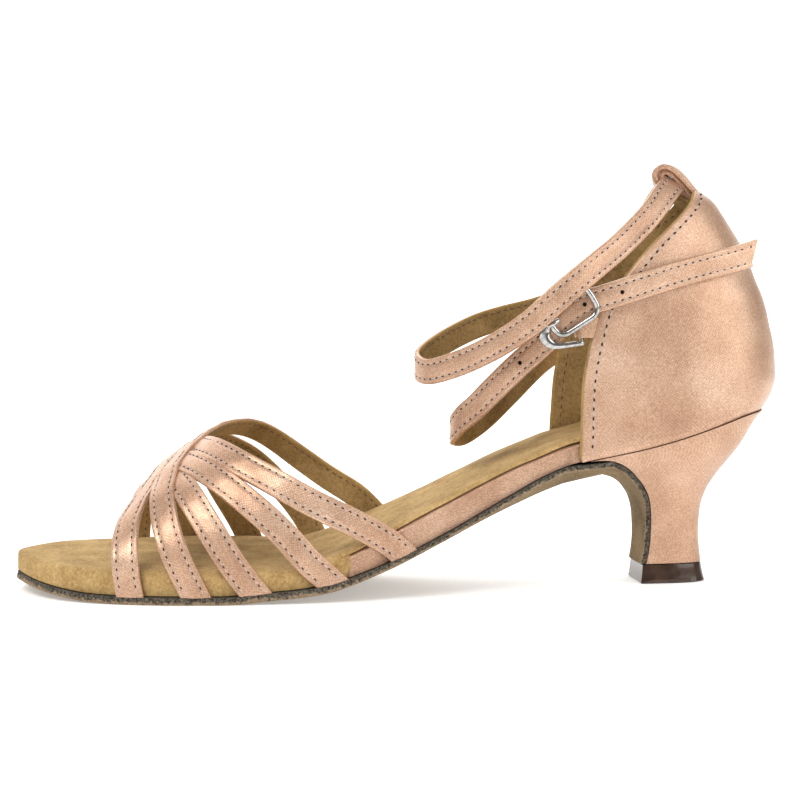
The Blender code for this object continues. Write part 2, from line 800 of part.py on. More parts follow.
def make_ankle_strap(material):
    rows = [
        (place(along), ankle_half() * side, ankle_height * height, lean)
        for along, side, height, lean in ankle_rows
    ]
    points = smooth_path(rows, 3)
    path = [Vector(point[:3]) for point in points]
    facings = []
    for k, point in enumerate(points):
        ahead = path[min(k + 1, len(path) - 1)] - path[max(k - 1, 0)]
        level = ahead.cross(Vector((0.0, 0.0, 1.0))).normalized()
        lean = math.radians(point[3])
        facings.append(level * math.cos(lean) + Vector((0.0, 0.0, 1.0)) * math.sin(lean))
    square = [(0.0, Vector((1.0, 0.0, 0.0)))] * len(path)
    rings = ribbon(path, facings, ankle_strap_width, strap_thickness, square)
    return loft("ankle_strap", rings, material)


def quarter_edge(z):
    # Front edge of the outer quarter at a height
    points = [counter_point(row, -1, 0.0, 0.0) for row in counter_rows]
    for low, high in zip(points, points[1:]):
        if z <= high.z:
            break
    return low.x + (high.x - low.x) * (z - low.z) / (high.z - low.z)


def on_buckle(reach, rise, out):
    # A point of the buckle: along the frame, up across it, and out from its middle plane
    tilt = math.radians(frame_tilt)
    level = ankle_height * buckle_level + buckle_up
    middle = quarter_edge(level - 0.7 * frame_width) - clearance - buckle_ahead
    x = middle + reach * math.cos(tilt) - rise * math.sin(tilt)
    z = level + reach * math.sin(tilt) + rise * math.cos(tilt)
    return Vector((x, -ankle_half() - buckle_out - out, z))


def wire_rings(path, radius, breadths):
    # Rings of a wire with eight sides, each as broad in the buckle's plane as breadths says
    rings = []
    across = Vector((0.0, 0.0, 1.0))
    for k, point in enumerate(path):
        ahead = (path[min(k + 1, len(path) - 1)] - path[max(k - 1, 0)]).normalized()
        across = (across - ahead * across.dot(ahead)).normalized()
        up = ahead.cross(across)
        ring = []
        for i in range(8):
            turn = 2 * math.pi * i / 8
            side = across * breadths[k] * math.cos(turn) + up * math.sin(turn)
            ring.append(point + side * radius)
        rings.append(ring)
    return rings


def closed_loft(name, rings, material):
    # A ring-shaped body: the last ring joins the first
    mesh = bmesh.new()
    rows = [[mesh.verts.new(point) for point in ring] for ring in rings]
    count = len(rows[0])
    for low, high in zip(rows, rows[1:] + rows[:1]):
        for i in range(count):
            j = (i + 1) % count
            mesh.faces.new((low[i], low[j], high[j], high[i]))
    return new_object(name, mesh, material)


def make_buckle_frame(material):
    radius = wire_diameter / 2
    long = frame_length / 2 - radius
    wide = frame_width / 2 - radius
    outline = []
    for sign_x, sign_z, first in ((1, 1, 0), (-1, 1, 90), (-1, -1, 180), (1, -1, 270)):
        for step in range(5):
            turn = math.radians(first + 22.5 * step)
            outline.append((sign_x * (long - frame_corner) + frame_corner * math.cos(turn),
                            sign_z * (wide - frame_corner) + frame_corner * math.sin(turn)))
    rings = []
    for k, (reach, rise) in enumerate(outline):
        ahead = outline[(k + 1) % len(outline)]
        behind = outline[k - 1]
        way = Vector((ahead[0] - behind[0], ahead[1] - behind[1])).normalized()
        ring = []
        for i in range(8):
            turn = 2 * math.pi * i / 8
            off = radius * math.cos(turn)
            ring.append(on_buckle(reach + way.y * off, rise - way.x * off, radius * math.sin(turn)))
        rings.append(ring)
    return closed_loft("buckle_frame", rings, material)


def make_buckle_prong(material):
    # A short peg over the end bar; it dips into the hole of the strap
    radius = wire_diameter / 2
    bar = -frame_length / 2 + radius
    over = 1.8 * radius + clearance
    path = []
    for step, out in ((-0.30, 0.8), (0.0, 1.0), (0.30, 0.9), (0.55, 0.65), (0.70, 0.4)):
        path.append(on_buckle(bar + prong_length * step, 0.0, over * out))
    rings = wire_rings(path, 0.8 * radius, [1.0, 1.0, 1.0, 1.0, 0.6])
    return loft("buckle_prong", rings, material)


def tab_middle():
    # The pin of the hook stands in the tab's fold: its x, y and the tab's lower edge
    arm = on_buckle(hook_rows[-1][0] * frame_length, -hook_rows[-1][1] * frame_length, 0.0)
    radius = wire_diameter / 2
    y = arm.y + 2 * radius + 3 * clearance + 2 * tab_thickness
    return arm.x + radius, y, arm.z + radius + 2.6 * clearance


def make_buckle_hook(material):
    radius = wire_diameter / 2
    rows = [(*on_buckle(reach * frame_length, -drop * frame_length, 0.0), breadth)
            for reach, drop, breadth in hook_rows]
    x, y, foot = tab_middle()
    arm = rows[-1]
    rows.append((x - 0.3 * radius, (arm[1] + y) / 2 - radius / 2, arm[2] - 0.2 * radius, 1.0))
    rows.append((x, y - 0.3 * radius, arm[2], 1.0))
    rows.append((x, y, foot + 0.3 * tab_width, 1.0))
    rows.append((x, y, foot + 0.8 * tab_width, 1.0))
    points = smooth_path(rows, 3)
    path = [Vector(point[:3]) for point in points]
    return loft("buckle_hook", wire_rings(path, radius, [point[3] for point in points]), material)


def make_buckle_tab(material):
    # A band folded round the hook's pin, its two ends against the quarter's front edge
    x, y, foot = tab_middle()
    pin = wire_diameter / 2 + clearance
    end = quarter_edge(foot) - clearance
    reach = pin + tab_thickness
    inner = []
    outer = []
    for k in range(9):
        turn = math.radians(90 + 22.5 * k)
        inner.append((x + pin * math.cos(turn), y + pin * math.sin(turn)))
        outer.append((x + reach * math.cos(turn), y + reach * math.sin(turn)))
    close = x + 2.6 * pin
    inner.append((close, y))
    inner.insert(0, (close, y))
    outer.append((end, y - tab_thickness))
    outer.insert(0, (end, y + tab_thickness))
    rings = []
    for (ax, ay), (bx, by) in zip(outer, inner):
        rings.append([Vector((ax, ay, foot)), Vector((bx, by, foot)),
                      Vector((bx, by, foot + tab_width)), Vector((ax, ay, foot + tab_width))])
    return closed_loft("buckle_tab", rings, material)


def clear_scene():
    for item in list(bpy.data.objects):
        bpy.data.objects.remove(item, do_unlink=True)


clear_scene()
suede = finish("outsole_suede", (0.33, 0.27, 0.19), 0.95)
sock = finish("footbed_suede", (0.50, 0.36, 0.19), 0.92)
satin = finish("satin", (0.74, 0.50, 0.36), 0.38)
plastic = finish("tip_plastic", (0.09, 0.04, 0.025), 0.25)
chrome = finish("buckle_chrome", (0.80, 0.80, 0.80), 0.15, 1.0)
make_outsole(suede)
make_footbed(sock)
make_board(satin)
make_heel(satin)
make_heel_tip(plastic)
make_counter(satin)
make_vamp(satin)
make_ankle_strap(satin)
make_buckle_frame(chrome)
make_buckle_prong(chrome)
make_buckle_hook(chrome)
make_buckle_tab(satin)
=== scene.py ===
# Ballroom dance shoe for the left foot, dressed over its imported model. Metres, in the model's
# frame: X from toe to heel, +Y the inner side, Z up.
import math

import bmesh
import bpy
import numpy as np
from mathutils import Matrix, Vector, noise


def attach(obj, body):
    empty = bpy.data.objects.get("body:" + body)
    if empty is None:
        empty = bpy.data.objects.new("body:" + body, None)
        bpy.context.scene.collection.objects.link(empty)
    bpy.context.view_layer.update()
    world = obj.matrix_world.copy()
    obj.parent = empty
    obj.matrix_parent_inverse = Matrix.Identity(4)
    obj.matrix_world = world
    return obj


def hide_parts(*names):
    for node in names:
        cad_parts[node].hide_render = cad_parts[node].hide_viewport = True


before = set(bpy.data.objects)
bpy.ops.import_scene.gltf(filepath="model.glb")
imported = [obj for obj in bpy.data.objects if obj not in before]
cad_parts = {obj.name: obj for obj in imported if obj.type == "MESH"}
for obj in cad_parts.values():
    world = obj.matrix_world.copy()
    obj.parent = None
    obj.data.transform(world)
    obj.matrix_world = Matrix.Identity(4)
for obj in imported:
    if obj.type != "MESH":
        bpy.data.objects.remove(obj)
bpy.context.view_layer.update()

shoe = {"length": 0.232, "ballWidth": 0.0755, "heelRise": 0.0514, "toeSpring": 0.0042, "clearance": 0.0003}
layers = {
    "soleThickness": 0.0021, "soleEdge": 0.0015, "breast": 0.0018, "build": 0.0083, "sock": 0.0012,
    "bedRadius": 0.0034, "boardRadius": 0.0014, "lean": 0.0012, "padEnd": 0.42, "planEnd": 0.980,
    "strap": 0.0015, "instep": 0.060, "quarterFront": 0.710, "wall": 0.0020, "counterHeight": 0.0657,
}

# Plan of the sole: share of the length, then the outer and inner side as shares of the ball width
planColumns = ("along", "lateral", "medial")
planRows = (
    (0.000, 0.065, 0.065),
    (0.015, -0.110, 0.220),
    (0.050, -0.275, 0.330),
    (0.100, -0.385, 0.410),
    (0.160, -0.452, 0.465),
    (0.220, -0.486, 0.495),
    (0.300, -0.500, 0.500),
    (0.380, -0.495, 0.436),
    (0.460, -0.460, 0.327),
    (0.540, -0.403, 0.245),
    (0.620, -0.363, 0.218),
    (0.700, -0.345, 0.242),
    (0.780, -0.340, 0.293),
    (0.860, -0.326, 0.316),
    (0.905, -0.296, 0.294),
    (0.945, -0.232, 0.235),
    (0.967, -0.150, 0.153),
    (0.980, 0.000, 0.000),
)

# Side line of the sole: share of the length, share of the toe spring, share of the heel rise,
# height of what stands on the outsole as a share of the build height, and the depth of the
# outsole's rounded belly as a share of the build height
sideColumns = ("along", "spring", "rise", "build", "belly")
sideRows = (
    (0.00, 1.00, 0.000, 0.58, 0.00),
    (0.03, 0.62, 0.000, 0.78, 0.00),
    (0.06, 0.33, 0.000, 0.92, 0.00),
    (0.10, 0.07, 0.000, 1.00, 0.00),
    (0.14, 0.00, 0.000, 1.02, 0.00),
    (0.26, 0.00, 0.000, 1.00, 0.00),
    (0.32, 0.00, 0.021, 0.84, 0.00),
    (0.36, 0.00, 0.036, 0.78, 0.00),
    (0.39, 0.00, 0.057, 0.88, 0.00),
    (0.42, 0.00, 0.094, 0.98, 0.02),
    (0.46, 0.00, 0.158, 1.12, 0.04),
    (0.50, 0.00, 0.232, 1.21, 0.09),
    (0.545, 0.00, 0.328, 1.23, 0.15),
    (0.59, 0.00, 0.435, 1.18, 0.25),
    (0.63, 0.00, 0.535, 1.08, 0.38),
    (0.67, 0.00, 0.630, 0.94, 0.50),
    (0.70, 0.00, 0.685, 0.91, 0.55),
    (0.73, 0.00, 0.718, 0.92, 0.54),
    (0.76, 0.00, 0.744, 0.96, 0.52),
    (0.80, 0.00, 0.780, 0.95, 0.40),
    (0.85, 0.00, 0.838, 0.83, 0.30),
    (0.90, 0.00, 0.908, 0.68, 0.20),
    (0.95, 0.00, 0.972, 0.50, 0.10),
    (1.00, 0.00, 1.000, 0.42, 0.00),
)

# Heel, from tip to seat: front and back as shares of the length, their heights as shares of the
# heel rise, half the width as a share of the ball width, how square the section's back is, how
# far the section follows the plan of the sole, and the belly of the sole down the heel's front
heelColumns = ("section", "front", "frontUp", "back", "backUp", "half", "square", "plan", "belly")
heelRows = (
    (0, 0.8195, 0.119, 0.8995, 0.119, 0.112, 2.8, 0.00, 0.00),
    (1, 0.8225, 0.195, 0.8970, 0.200, 0.117, 2.7, 0.00, 0.00),
    (2, 0.8240, 0.290, 0.8955, 0.305, 0.124, 2.7, 0.00, 0.00),
    (3, 0.8235, 0.400, 0.8970, 0.425, 0.137, 2.7, 0.00, 0.00),
    (4, 0.8200, 0.495, 0.9030, 0.535, 0.160, 2.7, 0.00, 0.00),
    (5, 0.8115, 0.573, 0.9145, 0.635, 0.191, 2.7, 0.05, 0.05),
    (6, 0.7975, 0.645, 0.9280, 0.728, 0.228, 2.7, 0.20, 0.14),
    (7, 0.7800, 0.703, 0.9425, 0.820, 0.265, 2.8, 0.50, 0.32),
    (8, 0.7560, 0.738, 0.9560, 0.905, 0.300, 2.8, 0.80, 0.44),
    (9, 0.7300, 0.747, 0.9800, 1.036, 0.330, 2.8, 1.00, 0.52),
)

# Counter, from the seam on the heel to its top: level as a share of the counter's height, back
# as a share of the length, outer and inner half widths as shares of the ball width, front edges
# of the outer and inner quarter as shares of the length, how square the section is, and how
# much of the seam's slope and plan is left
counterColumns = ("level", "back", "lateral", "medial", "edgeOut", "edgeIn", "square", "seam")
counterRows = (
    (0.000, 0.980, 0.340, 0.290, 0.7190, 0.7130, 2.8, 1.00),
    (0.075, 0.991, 0.342, 0.298, 0.7205, 0.7135, 2.8, 0.85),
    (0.150, 0.996, 0.343, 0.306, 0.7210, 0.7160, 2.8, 0.70),
    (0.225, 0.995, 0.342, 0.311, 0.7225, 0.7195, 2.8, 0.50),
    (0.300, 0.993, 0.340, 0.314, 0.7270, 0.7260, 2.7, 0.32),
    (0.375, 0.988, 0.337, 0.315, 0.7340, 0.7330, 2.7, 0.16),
    (0.450, 0.983, 0.333, 0.314, 0.7420, 0.7410, 2.7, 0.05),
    (0.525, 0.976, 0.328, 0.311, 0.7560, 0.7550, 2.7, 0.00),
    (0.600, 0.967, 0.322, 0.306, 0.7750, 0.7740, 2.6, 0.00),
    (0.675, 0.959, 0.314, 0.299, 0.7930, 0.7920, 2.6, 0.00),
    (0.750, 0.949, 0.304, 0.290, 0.8130, 0.8120, 2.5, 0.00),
    (0.825, 0.936, 0.293, 0.280, 0.8360, 0.8350, 2.5, 0.00),
    (0.900, 0.922, 0.280, 0.268, 0.8590, 0.8660, 2.5, 0.00),
    (0.955, 0.911, 0.268, 0.258, 0.8730, 0.8780, 2.5, 0.00),
    (1.000, 0.894, 0.255, 0.247, 0.8800, 0.8830, 2.5, 0.00),
)

# Back loop, from inside the wall, forward over the strap and down to the lining: shares of the
# length along the shoe, and of the counter's height above the seam
loopRows = (
    (0.9180, 0.905),
    (0.9060, 0.955),
    (0.8905, 1.000),
    (0.8825, 1.035),
    (0.8735, 1.075),
    (0.8635, 1.104),
    (0.8530, 1.116),
    (0.8440, 1.104),
    (0.8400, 1.078),
    (0.8420, 1.046),
    (0.8495, 1.016),
    (0.8620, 0.982),
    (0.8800, 0.948),
    (0.8990, 0.912),
    (0.9150, 0.880),
)

# Instep of the last over the straps: height over the floor as a share of the instep height
lastColumns = ("along", "instep")
lastRows = (
    (0.08, 0.32),
    (0.11, 0.38),
    (0.14, 0.455),
    (0.17, 0.545),
    (0.20, 0.635),
    (0.24, 0.750),
    (0.275, 0.840),
    (0.32, 0.920),
    (0.38, 1.000),
    (0.45, 1.080),
    (0.52, 1.150),
)

# Vamp straps, from the outer foot over the instep to the inner foot: places around the foot, 0 on
# the middle of the instep, 1 at the footbed's side and 2 down on the outsole, and shares of the
# length along it
frontOuterStrap = (
    (-2.00, 0.147), (-1.00, 0.140), (-0.67, 0.140), (-0.45, 0.147), (-0.28, 0.159), (-0.12, 0.184),
    (0.05, 0.214), (0.25, 0.243), (0.46, 0.273), (0.60, 0.306), (0.75, 0.341), (0.87, 0.370),
    (1.00, 0.397), (2.00, 0.404),
)
secondOuterStrap = (
    (-2.00, 0.229), (-1.00, 0.210), (-0.92, 0.202), (-0.75, 0.191), (-0.55, 0.186), (-0.40, 0.187),
    (-0.24, 0.198), (-0.09, 0.221), (0.06, 0.243), (0.20, 0.265), (0.31, 0.289), (0.43, 0.316),
    (0.62, 0.361), (0.80, 0.411), (1.00, 0.470), (2.00, 0.492),
)
thirdOuterStrap = (
    (-2.00, 0.301), (-1.00, 0.275), (-0.90, 0.260), (-0.70, 0.232), (-0.41, 0.209), (-0.24, 0.197),
    (-0.05, 0.185), (0.15, 0.175), (0.40, 0.166), (0.65, 0.159), (1.00, 0.152), (2.00, 0.152),
)
fourthOuterStrap = (
    (-2.00, 0.398), (-1.00, 0.367), (-0.90, 0.346), (-0.77, 0.306), (-0.58, 0.261), (-0.37, 0.230),
    (-0.22, 0.213), (-0.05, 0.203), (0.15, 0.198), (0.45, 0.202), (0.74, 0.211), (1.00, 0.222),
    (2.00, 0.226),
)
rearOuterStrap = (
    (-2.00, 0.489), (-1.00, 0.456), (-0.93, 0.433), (-0.85, 0.401), (-0.69, 0.338), (-0.49, 0.277),
    (-0.25, 0.243), (-0.07, 0.230), (0.15, 0.226), (0.45, 0.242), (0.77, 0.269), (0.87, 0.287),
    (1.00, 0.309), (2.00, 0.318),
)
# Straps from the lowest to the topmost where they cross
crossingOrder = (
    thirdOuterStrap, fourthOuterStrap, rearOuterStrap, frontOuterStrap, secondOuterStrap,
)

# Ankle strap, from the inner quarter round the front, through the back loop, round again and
# through the buckle to its free end: share of the length, side as a share of half the ankle,
# height as a share of the ankle height, and degrees that its face leans up
ankleRows = (
    (0.7600, 1.030, 0.707, 0),
    (0.7300, 1.045, 0.689, 0),
    (0.6950, 1.025, 0.668, 0),
    (0.6480, 0.905, 0.648, 0),
    (0.6110, 0.745, 0.629, 0),
    (0.5730, 0.505, 0.600, 0),
    (0.5400, 0.240, 0.567, 0),
    (0.5210, 0.000, 0.538, 0),
    (0.5270, -0.240, 0.524, 0),
    (0.5450, -0.440, 0.530, 0),
    (0.5800, -0.720, 0.559, 0),
    (0.6160, -1.010, 0.600, 0),
    (0.6480, -1.220, 0.646, 0),
    (0.6720, -1.275, 0.688, 0),
    (0.6970, -1.275, 0.729, 2),
    (0.7310, -1.180, 0.778, 5),
    (0.7680, -0.980, 0.829, 10),
    (0.8100, -0.690, 0.896, 24),
    (0.8415, -0.400, 0.960, 44),
    (0.8550, -0.200, 0.978, 54),
    (0.8615, 0.000, 0.982, 56),
    (0.8630, 0.200, 0.977, 54),
    (0.8580, 0.460, 0.957, 42),
    (0.8480, 0.820, 0.908, 22),
    (0.8320, 1.050, 0.836, 8),
    (0.7970, 1.170, 0.713, 0),
    (0.7640, 1.190, 0.630, 0),
    (0.7320, 1.130, 0.573, 0),
    (0.6990, 0.990, 0.529, 0),
    (0.6600, 0.740, 0.466, 0),
    (0.6210, 0.420, 0.408, 0),
    (0.5850, 0.120, 0.371, 0),
    (0.5660, -0.110, 0.375, 0),
    (0.5730, -0.340, 0.407, 0),
    (0.5910, -0.520, 0.443, 0),
    (0.6070, -0.640, 0.478, 0),
    (0.6350, -0.820, 0.536, 0),
    (0.6680, -0.985, 0.597, 0),
    (0.6940, -1.050, 0.655, 0),
    (0.7190, -1.065, 0.688, 0),
    (0.7500, -1.065, 0.707, 0),
    (0.7850, -1.045, 0.727, 0),
    (0.8520, -0.955, 0.764, 0),
    (0.9200, -0.800, 0.795, 0),
    (0.9470, -0.715, 0.809, 0),
)

# Hook, from the buckle's end bar round to the arm and into the tab: reach along the frame and
# drop below its middle as shares of the frame's length, and its breadth in wires
hookRows = (
    (-0.540, -0.010, 1.3),
    (-0.590, 0.005, 1.5),
    (-0.655, 0.070, 1.7),
    (-0.695, 0.185, 1.7),
    (-0.670, 0.300, 1.5),
    (-0.590, 0.395, 1.2),
    (-0.420, 0.490, 1.0),
    (-0.270, 0.560, 1.0),
    (-0.150, 0.615, 1.0),
)


def curveThrough(xs, ys):
    # A smooth curve through its rows that never overshoots them
    xs, ys = np.array(xs, float), np.array(ys, float)
    steps = np.diff(xs)
    rates = np.diff(ys) / steps
    tangents = np.concatenate(([rates[0]], np.zeros(len(xs) - 2), [rates[-1]]))
    for i in range(1, len(xs) - 1):
        if rates[i - 1] * rates[i] > 0:
            near, far = 2 * steps[i] + steps[i - 1], steps[i] + 2 * steps[i - 1]
            tangents[i] = (near + far) / (near / rates[i - 1] + far / rates[i])

    def read(at):
        at = np.clip(at, xs[0], xs[-1])
        k = np.clip(np.searchsorted(xs, at, side="right") - 1, 0, len(xs) - 2)
        t = (at - xs[k]) / steps[k]
        rise = ys[k] + (ys[k + 1] - ys[k]) * t * t * (3 - 2 * t)
        return rise + steps[k] * t * (1 - t) * (tangents[k] * (1 - t) - tangents[k + 1] * t)

    return read


def tableCurves(columns, rows, keys=None):
    keys = [row[0] for row in rows] if keys is None else keys
    return {name: curveThrough(keys, [row[k] for row in rows]) for k, name in enumerate(columns)}


def turnOf(along):
    return np.arccos(1 - 2 * np.clip(np.asarray(along) / layers["planEnd"], 0, 1))


planCurves = tableCurves(planColumns, planRows, [float(turnOf(row[0])) for row in planRows])
sideCurves = tableCurves(sideColumns, sideRows)
heelCurves = tableCurves(heelColumns, heelRows)
counterCurves = tableCurves(counterColumns, counterRows)
lastCurves = tableCurves(lastColumns, lastRows)
middleShare = max(row[counterColumns.index("back")] for row in counterRows) / 2


def planSide(column, along):
    return shoe["ballWidth"] * planCurves[column](turnOf(along))


def place(along):
    return (along - middleShare) * shoe["length"]


def share(x):
    return x / shoe["length"] + middleShare


def soleTop(along):
    lift = shoe["toeSpring"] * sideCurves["spring"](along) + shoe["heelRise"] * sideCurves["rise"](along)
    return layers["soleThickness"] + lift


def bedTop(along):
    return soleTop(along) + layers["build"] * sideCurves["build"](along)


def seatBack():
    return float(soleTop(layers["planEnd"])) + shoe["clearance"]


def insetPlan(along, inset):
    turn = turnOf(along)
    x = place(along) + inset * np.cos(turn) ** 3
    inward = inset * np.minimum(1.0, 1.6 * np.sin(turn))
    return x, planSide("lateral", along) + inward, planSide("medial", along) - inward


def evenTurns(start, end, count):
    return layers["planEnd"] * (1 - np.cos(np.linspace(turnOf(start), turnOf(end), count))) / 2


def unit(vectors):
    return vectors / np.maximum(np.linalg.norm(vectors, axis=-1, keepdims=True), 1e-12)


def smoothPath(rows, perSpan):
    rows = np.array(rows, float)
    padded = np.vstack([rows[:1], rows, rows[-1:]])
    t = np.arange(perSpan)[:, None] / perSpan
    parts = []
    for a, b, c, d in zip(padded[:-3], padded[1:-2], padded[2:-1], padded[3:]):
        bend = (2 * a - 5 * b + 4 * c - d) * t ** 2 + (3 * b - a - 3 * c + d) * t ** 3
        parts.append(0.5 * (2 * b + (c - a) * t + bend))
    return np.vstack(parts + [rows[-1:]])


def runLength(points):
    return np.concatenate(([0.0], np.cumsum(np.linalg.norm(np.diff(points, axis=0), axis=1))))


def wave(points, size, seed=0.0):
    # Smooth unevenness from -1 to 1 at each point, with that size in metres
    flat = np.asarray(points, float).reshape(-1, 3) / size
    values = [noise.noise(Vector((p[0] + seed, p[1] - seed, p[2] + 2 * seed))) for p in flat]
    return np.array(values).reshape(np.asarray(points).shape[:-1])


print("stage: measures read")


# Materials: every pattern reads the piece's own UV map in metres, or its object coordinates
def addNode(tree, kind, inputs=None, **settings):
    made = tree.nodes.new(kind)
    for name, value in settings.items():
        setattr(made, name, value)
    for name, value in (inputs or {}).items():
        if isinstance(value, bpy.types.NodeSocket):
            tree.links.new(value, made.inputs[name])
        else:
            made.inputs[name].default_value = value
    return made


def startMaterial(name, **sockets):
    material = bpy.data.materials.new(name)
    material.use_nodes = True
    shader = material.node_tree.nodes["Principled BSDF"]
    for socket, value in sockets.items():
        shader.inputs[socket.replace("_", " ")].default_value = value
    return material, material.node_tree, shader


def stretched(tree, source, scale, turn=0.0):
    # Coordinates in millimetres, stretched and turned in their own plane
    mapping = addNode(tree, "ShaderNodeMapping", {"Vector": source}, vector_type="POINT")
    mapping.inputs["Scale"].default_value = (scale[0] * 1000, scale[1] * 1000, scale[2] * 1000)
    mapping.inputs["Rotation"].default_value = (0.0, 0.0, math.radians(turn))
    return mapping.outputs["Vector"]


def noiseOf(tree, vector, scale, detail=2.0, roughness=0.5):
    sizes = {"Vector": vector, "Scale": scale, "Detail": detail, "Roughness": roughness}
    return addNode(tree, "ShaderNodeTexNoise", sizes).outputs["Fac"]


def bodyNoise(tree, scale, detail=2.0, roughness=0.5, stretch=(1, 1, 1)):
    # Noise all through the body, with its scale per millimetre
    solid = addNode(tree, "ShaderNodeTexCoord").outputs["Object"]
    return noiseOf(tree, stretched(tree, solid, stretch), scale, detail, roughness)


def ramp(tree, factor, stops):
    made = addNode(tree, "ShaderNodeValToRGB", {"Fac": factor})
    band = made.color_ramp
    while len(band.elements) < len(stops):
        band.elements.new(0.5)
    for element, (position, colour) in zip(band.elements, stops):
        element.position = position
        element.color = (*colour, 1.0)
    return made.outputs["Color"]


def scaled(tree, factor, low, high, fromLow=0.0, fromHigh=1.0):
    limits = {"Value": factor, "From Min": fromLow, "From Max": fromHigh, "To Min": low, "To Max": high}
    return addNode(tree, "ShaderNodeMapRange", limits).outputs["Result"]


def mathOf(tree, operation, a, b):
    made = tree.nodes.new("ShaderNodeMath")
    made.operation = operation
    for k, value in enumerate((a, b)):
        if isinstance(value, bpy.types.NodeSocket):
            tree.links.new(value, made.inputs[k])
        else:
            made.inputs[k].default_value = value
    return made.outputs[0]


def summed(tree, parts):
    # Patterns added up, each with its weight
    total = None
    for pattern, weight in parts:
        part = mathOf(tree, "MULTIPLY", pattern, weight)
        total = part if total is None else mathOf(tree, "ADD", total, part)
    return total


def mixColour(tree, factor, a, b):
    made = addNode(tree, "ShaderNodeMix", data_type="RGBA")
    for k, value in ((0, factor), (6, a), (7, b)):
        tree.links.new(value, made.inputs[k])
    return made.outputs[2]


def finishMaterial(tree, shader, colour, roughness, bumps):
    # Each bump has its height, its strength and its depth in metres
    tree.links.new(colour, shader.inputs["Base Color"])
    tree.links.new(roughness, shader.inputs["Roughness"])
    normal = None
    for height, strength, depth in bumps:
        inputs = {"Height": height, "Strength": strength, "Distance": depth}
        if normal is not None:
            inputs["Normal"] = normal
        normal = addNode(tree, "ShaderNodeBump", inputs).outputs["Normal"]
    tree.links.new(normal, shader.inputs["Normal"])


satinLook = {
    "shade": (0.440, 0.248, 0.155), "middle": (0.650, 0.408, 0.272), "light": (0.900, 0.670, 0.520),
    "roughness": 0.32, "twill": 0.72, "ripple": 9.0,
}


def makeSatin():
    material, tree, shader = startMaterial("roseSatin", Specular_IOR_Level=0.35, Metallic=0.45)
    uv = addNode(tree, "ShaderNodeUVMap").outputs["UV"]
    turned = stretched(tree, uv, (1, 1, 1), 38)
    crossed = stretched(tree, uv, (1, 1, 1), -48)
    twill = addNode(tree, "ShaderNodeTexWave", {"Vector": turned, "Scale": 0.314 / satinLook["twill"],
                                                "Distortion": 2.4, "Detail": 2.0, "Detail Scale": 0.6})
    weft = addNode(tree, "ShaderNodeTexWave", {"Vector": crossed, "Scale": 0.36 / satinLook["twill"],
                                               "Distortion": 0.8, "Detail": 1.0, "Detail Scale": 0.5})
    weave = mathOf(tree, "MULTIPLY", twill.outputs["Fac"], weft.outputs["Fac"])
    slubs = noiseOf(tree, stretched(tree, uv, (0.25, 2.4, 1), 30), 1.0, 3.0, 0.6)
    grain = bodyNoise(tree, 1.9, 2.0, 0.75)
    clouds = bodyNoise(tree, 0.055)
    ripples = bodyNoise(tree, 1 / satinLook["ripple"])
    tone = summed(tree, ((weave, 0.10), (slubs, 0.10), (clouds, 0.36), (grain, 0.48)))
    colour = ramp(tree, tone, ((0.38, satinLook["shade"]), (0.53, satinLook["middle"]),
                               (0.70, satinLook["light"])))
    roughness = scaled(tree, slubs, satinLook["roughness"] - 0.07, satinLook["roughness"] + 0.09)
    finishMaterial(tree, shader, colour, roughness,
                   ((ripples, 0.30, 0.0009), (weave, 0.38, 0.00010), (grain, 0.28, 0.00011)))
    return material


# Suedes: three tones, the size of the mottling and of the nap in millimetres, and the sheen
suedeLooks = {
    "bedSuede": {"tones": ((0.300, 0.185, 0.066), (0.500, 0.325, 0.132), (0.660, 0.455, 0.210)),
                 "mottle": 9.0, "nap": 0.9, "sheen": 0.04},
    "liningSuede": {"tones": ((0.190, 0.118, 0.042), (0.350, 0.225, 0.092), (0.480, 0.320, 0.140)),
                    "mottle": 12.0, "nap": 0.9, "sheen": 0.04},
    "cutEdge": {"tones": ((0.290, 0.180, 0.055), (0.420, 0.265, 0.085), (0.520, 0.345, 0.125)),
                "mottle": 5.0, "nap": 0.7, "sheen": 0.1},
}


def makeSuede(name):
    look = suedeLooks[name]
    material, tree, shader = startMaterial(name, Sheen_Weight=look["sheen"], Sheen_Roughness=0.5,
                                           Specular_IOR_Level=0.15)
    spots = bodyNoise(tree, 1 / look["mottle"], 3.0, 0.55)
    fibres = bodyNoise(tree, 1 / look["nap"], 3.0, 0.7)
    hairs = bodyNoise(tree, 1.3 / look["nap"], 2.0, 0.6, (1.0, 2.2, 1.6))
    tone = summed(tree, ((spots, 0.45), (fibres, 0.55)))
    colour = ramp(tree, tone, tuple(zip((0.34, 0.50, 0.66), look["tones"])))
    finishMaterial(tree, shader, colour, scaled(tree, fibres, 0.85, 1.0),
                   ((spots, 0.25, 0.0006), (fibres, 0.6, 0.00022), (hairs, 0.5, 0.00014)))
    return material


outsoleLook = {
    "leather": ((0.215, 0.150, 0.088), (0.385, 0.285, 0.180)),
    "fuzz": ((0.028, 0.025, 0.020), (0.190, 0.165, 0.125)),
    "nap": ((0.150, 0.100, 0.050), (0.330, 0.235, 0.125)), "wander": 0.46,
}


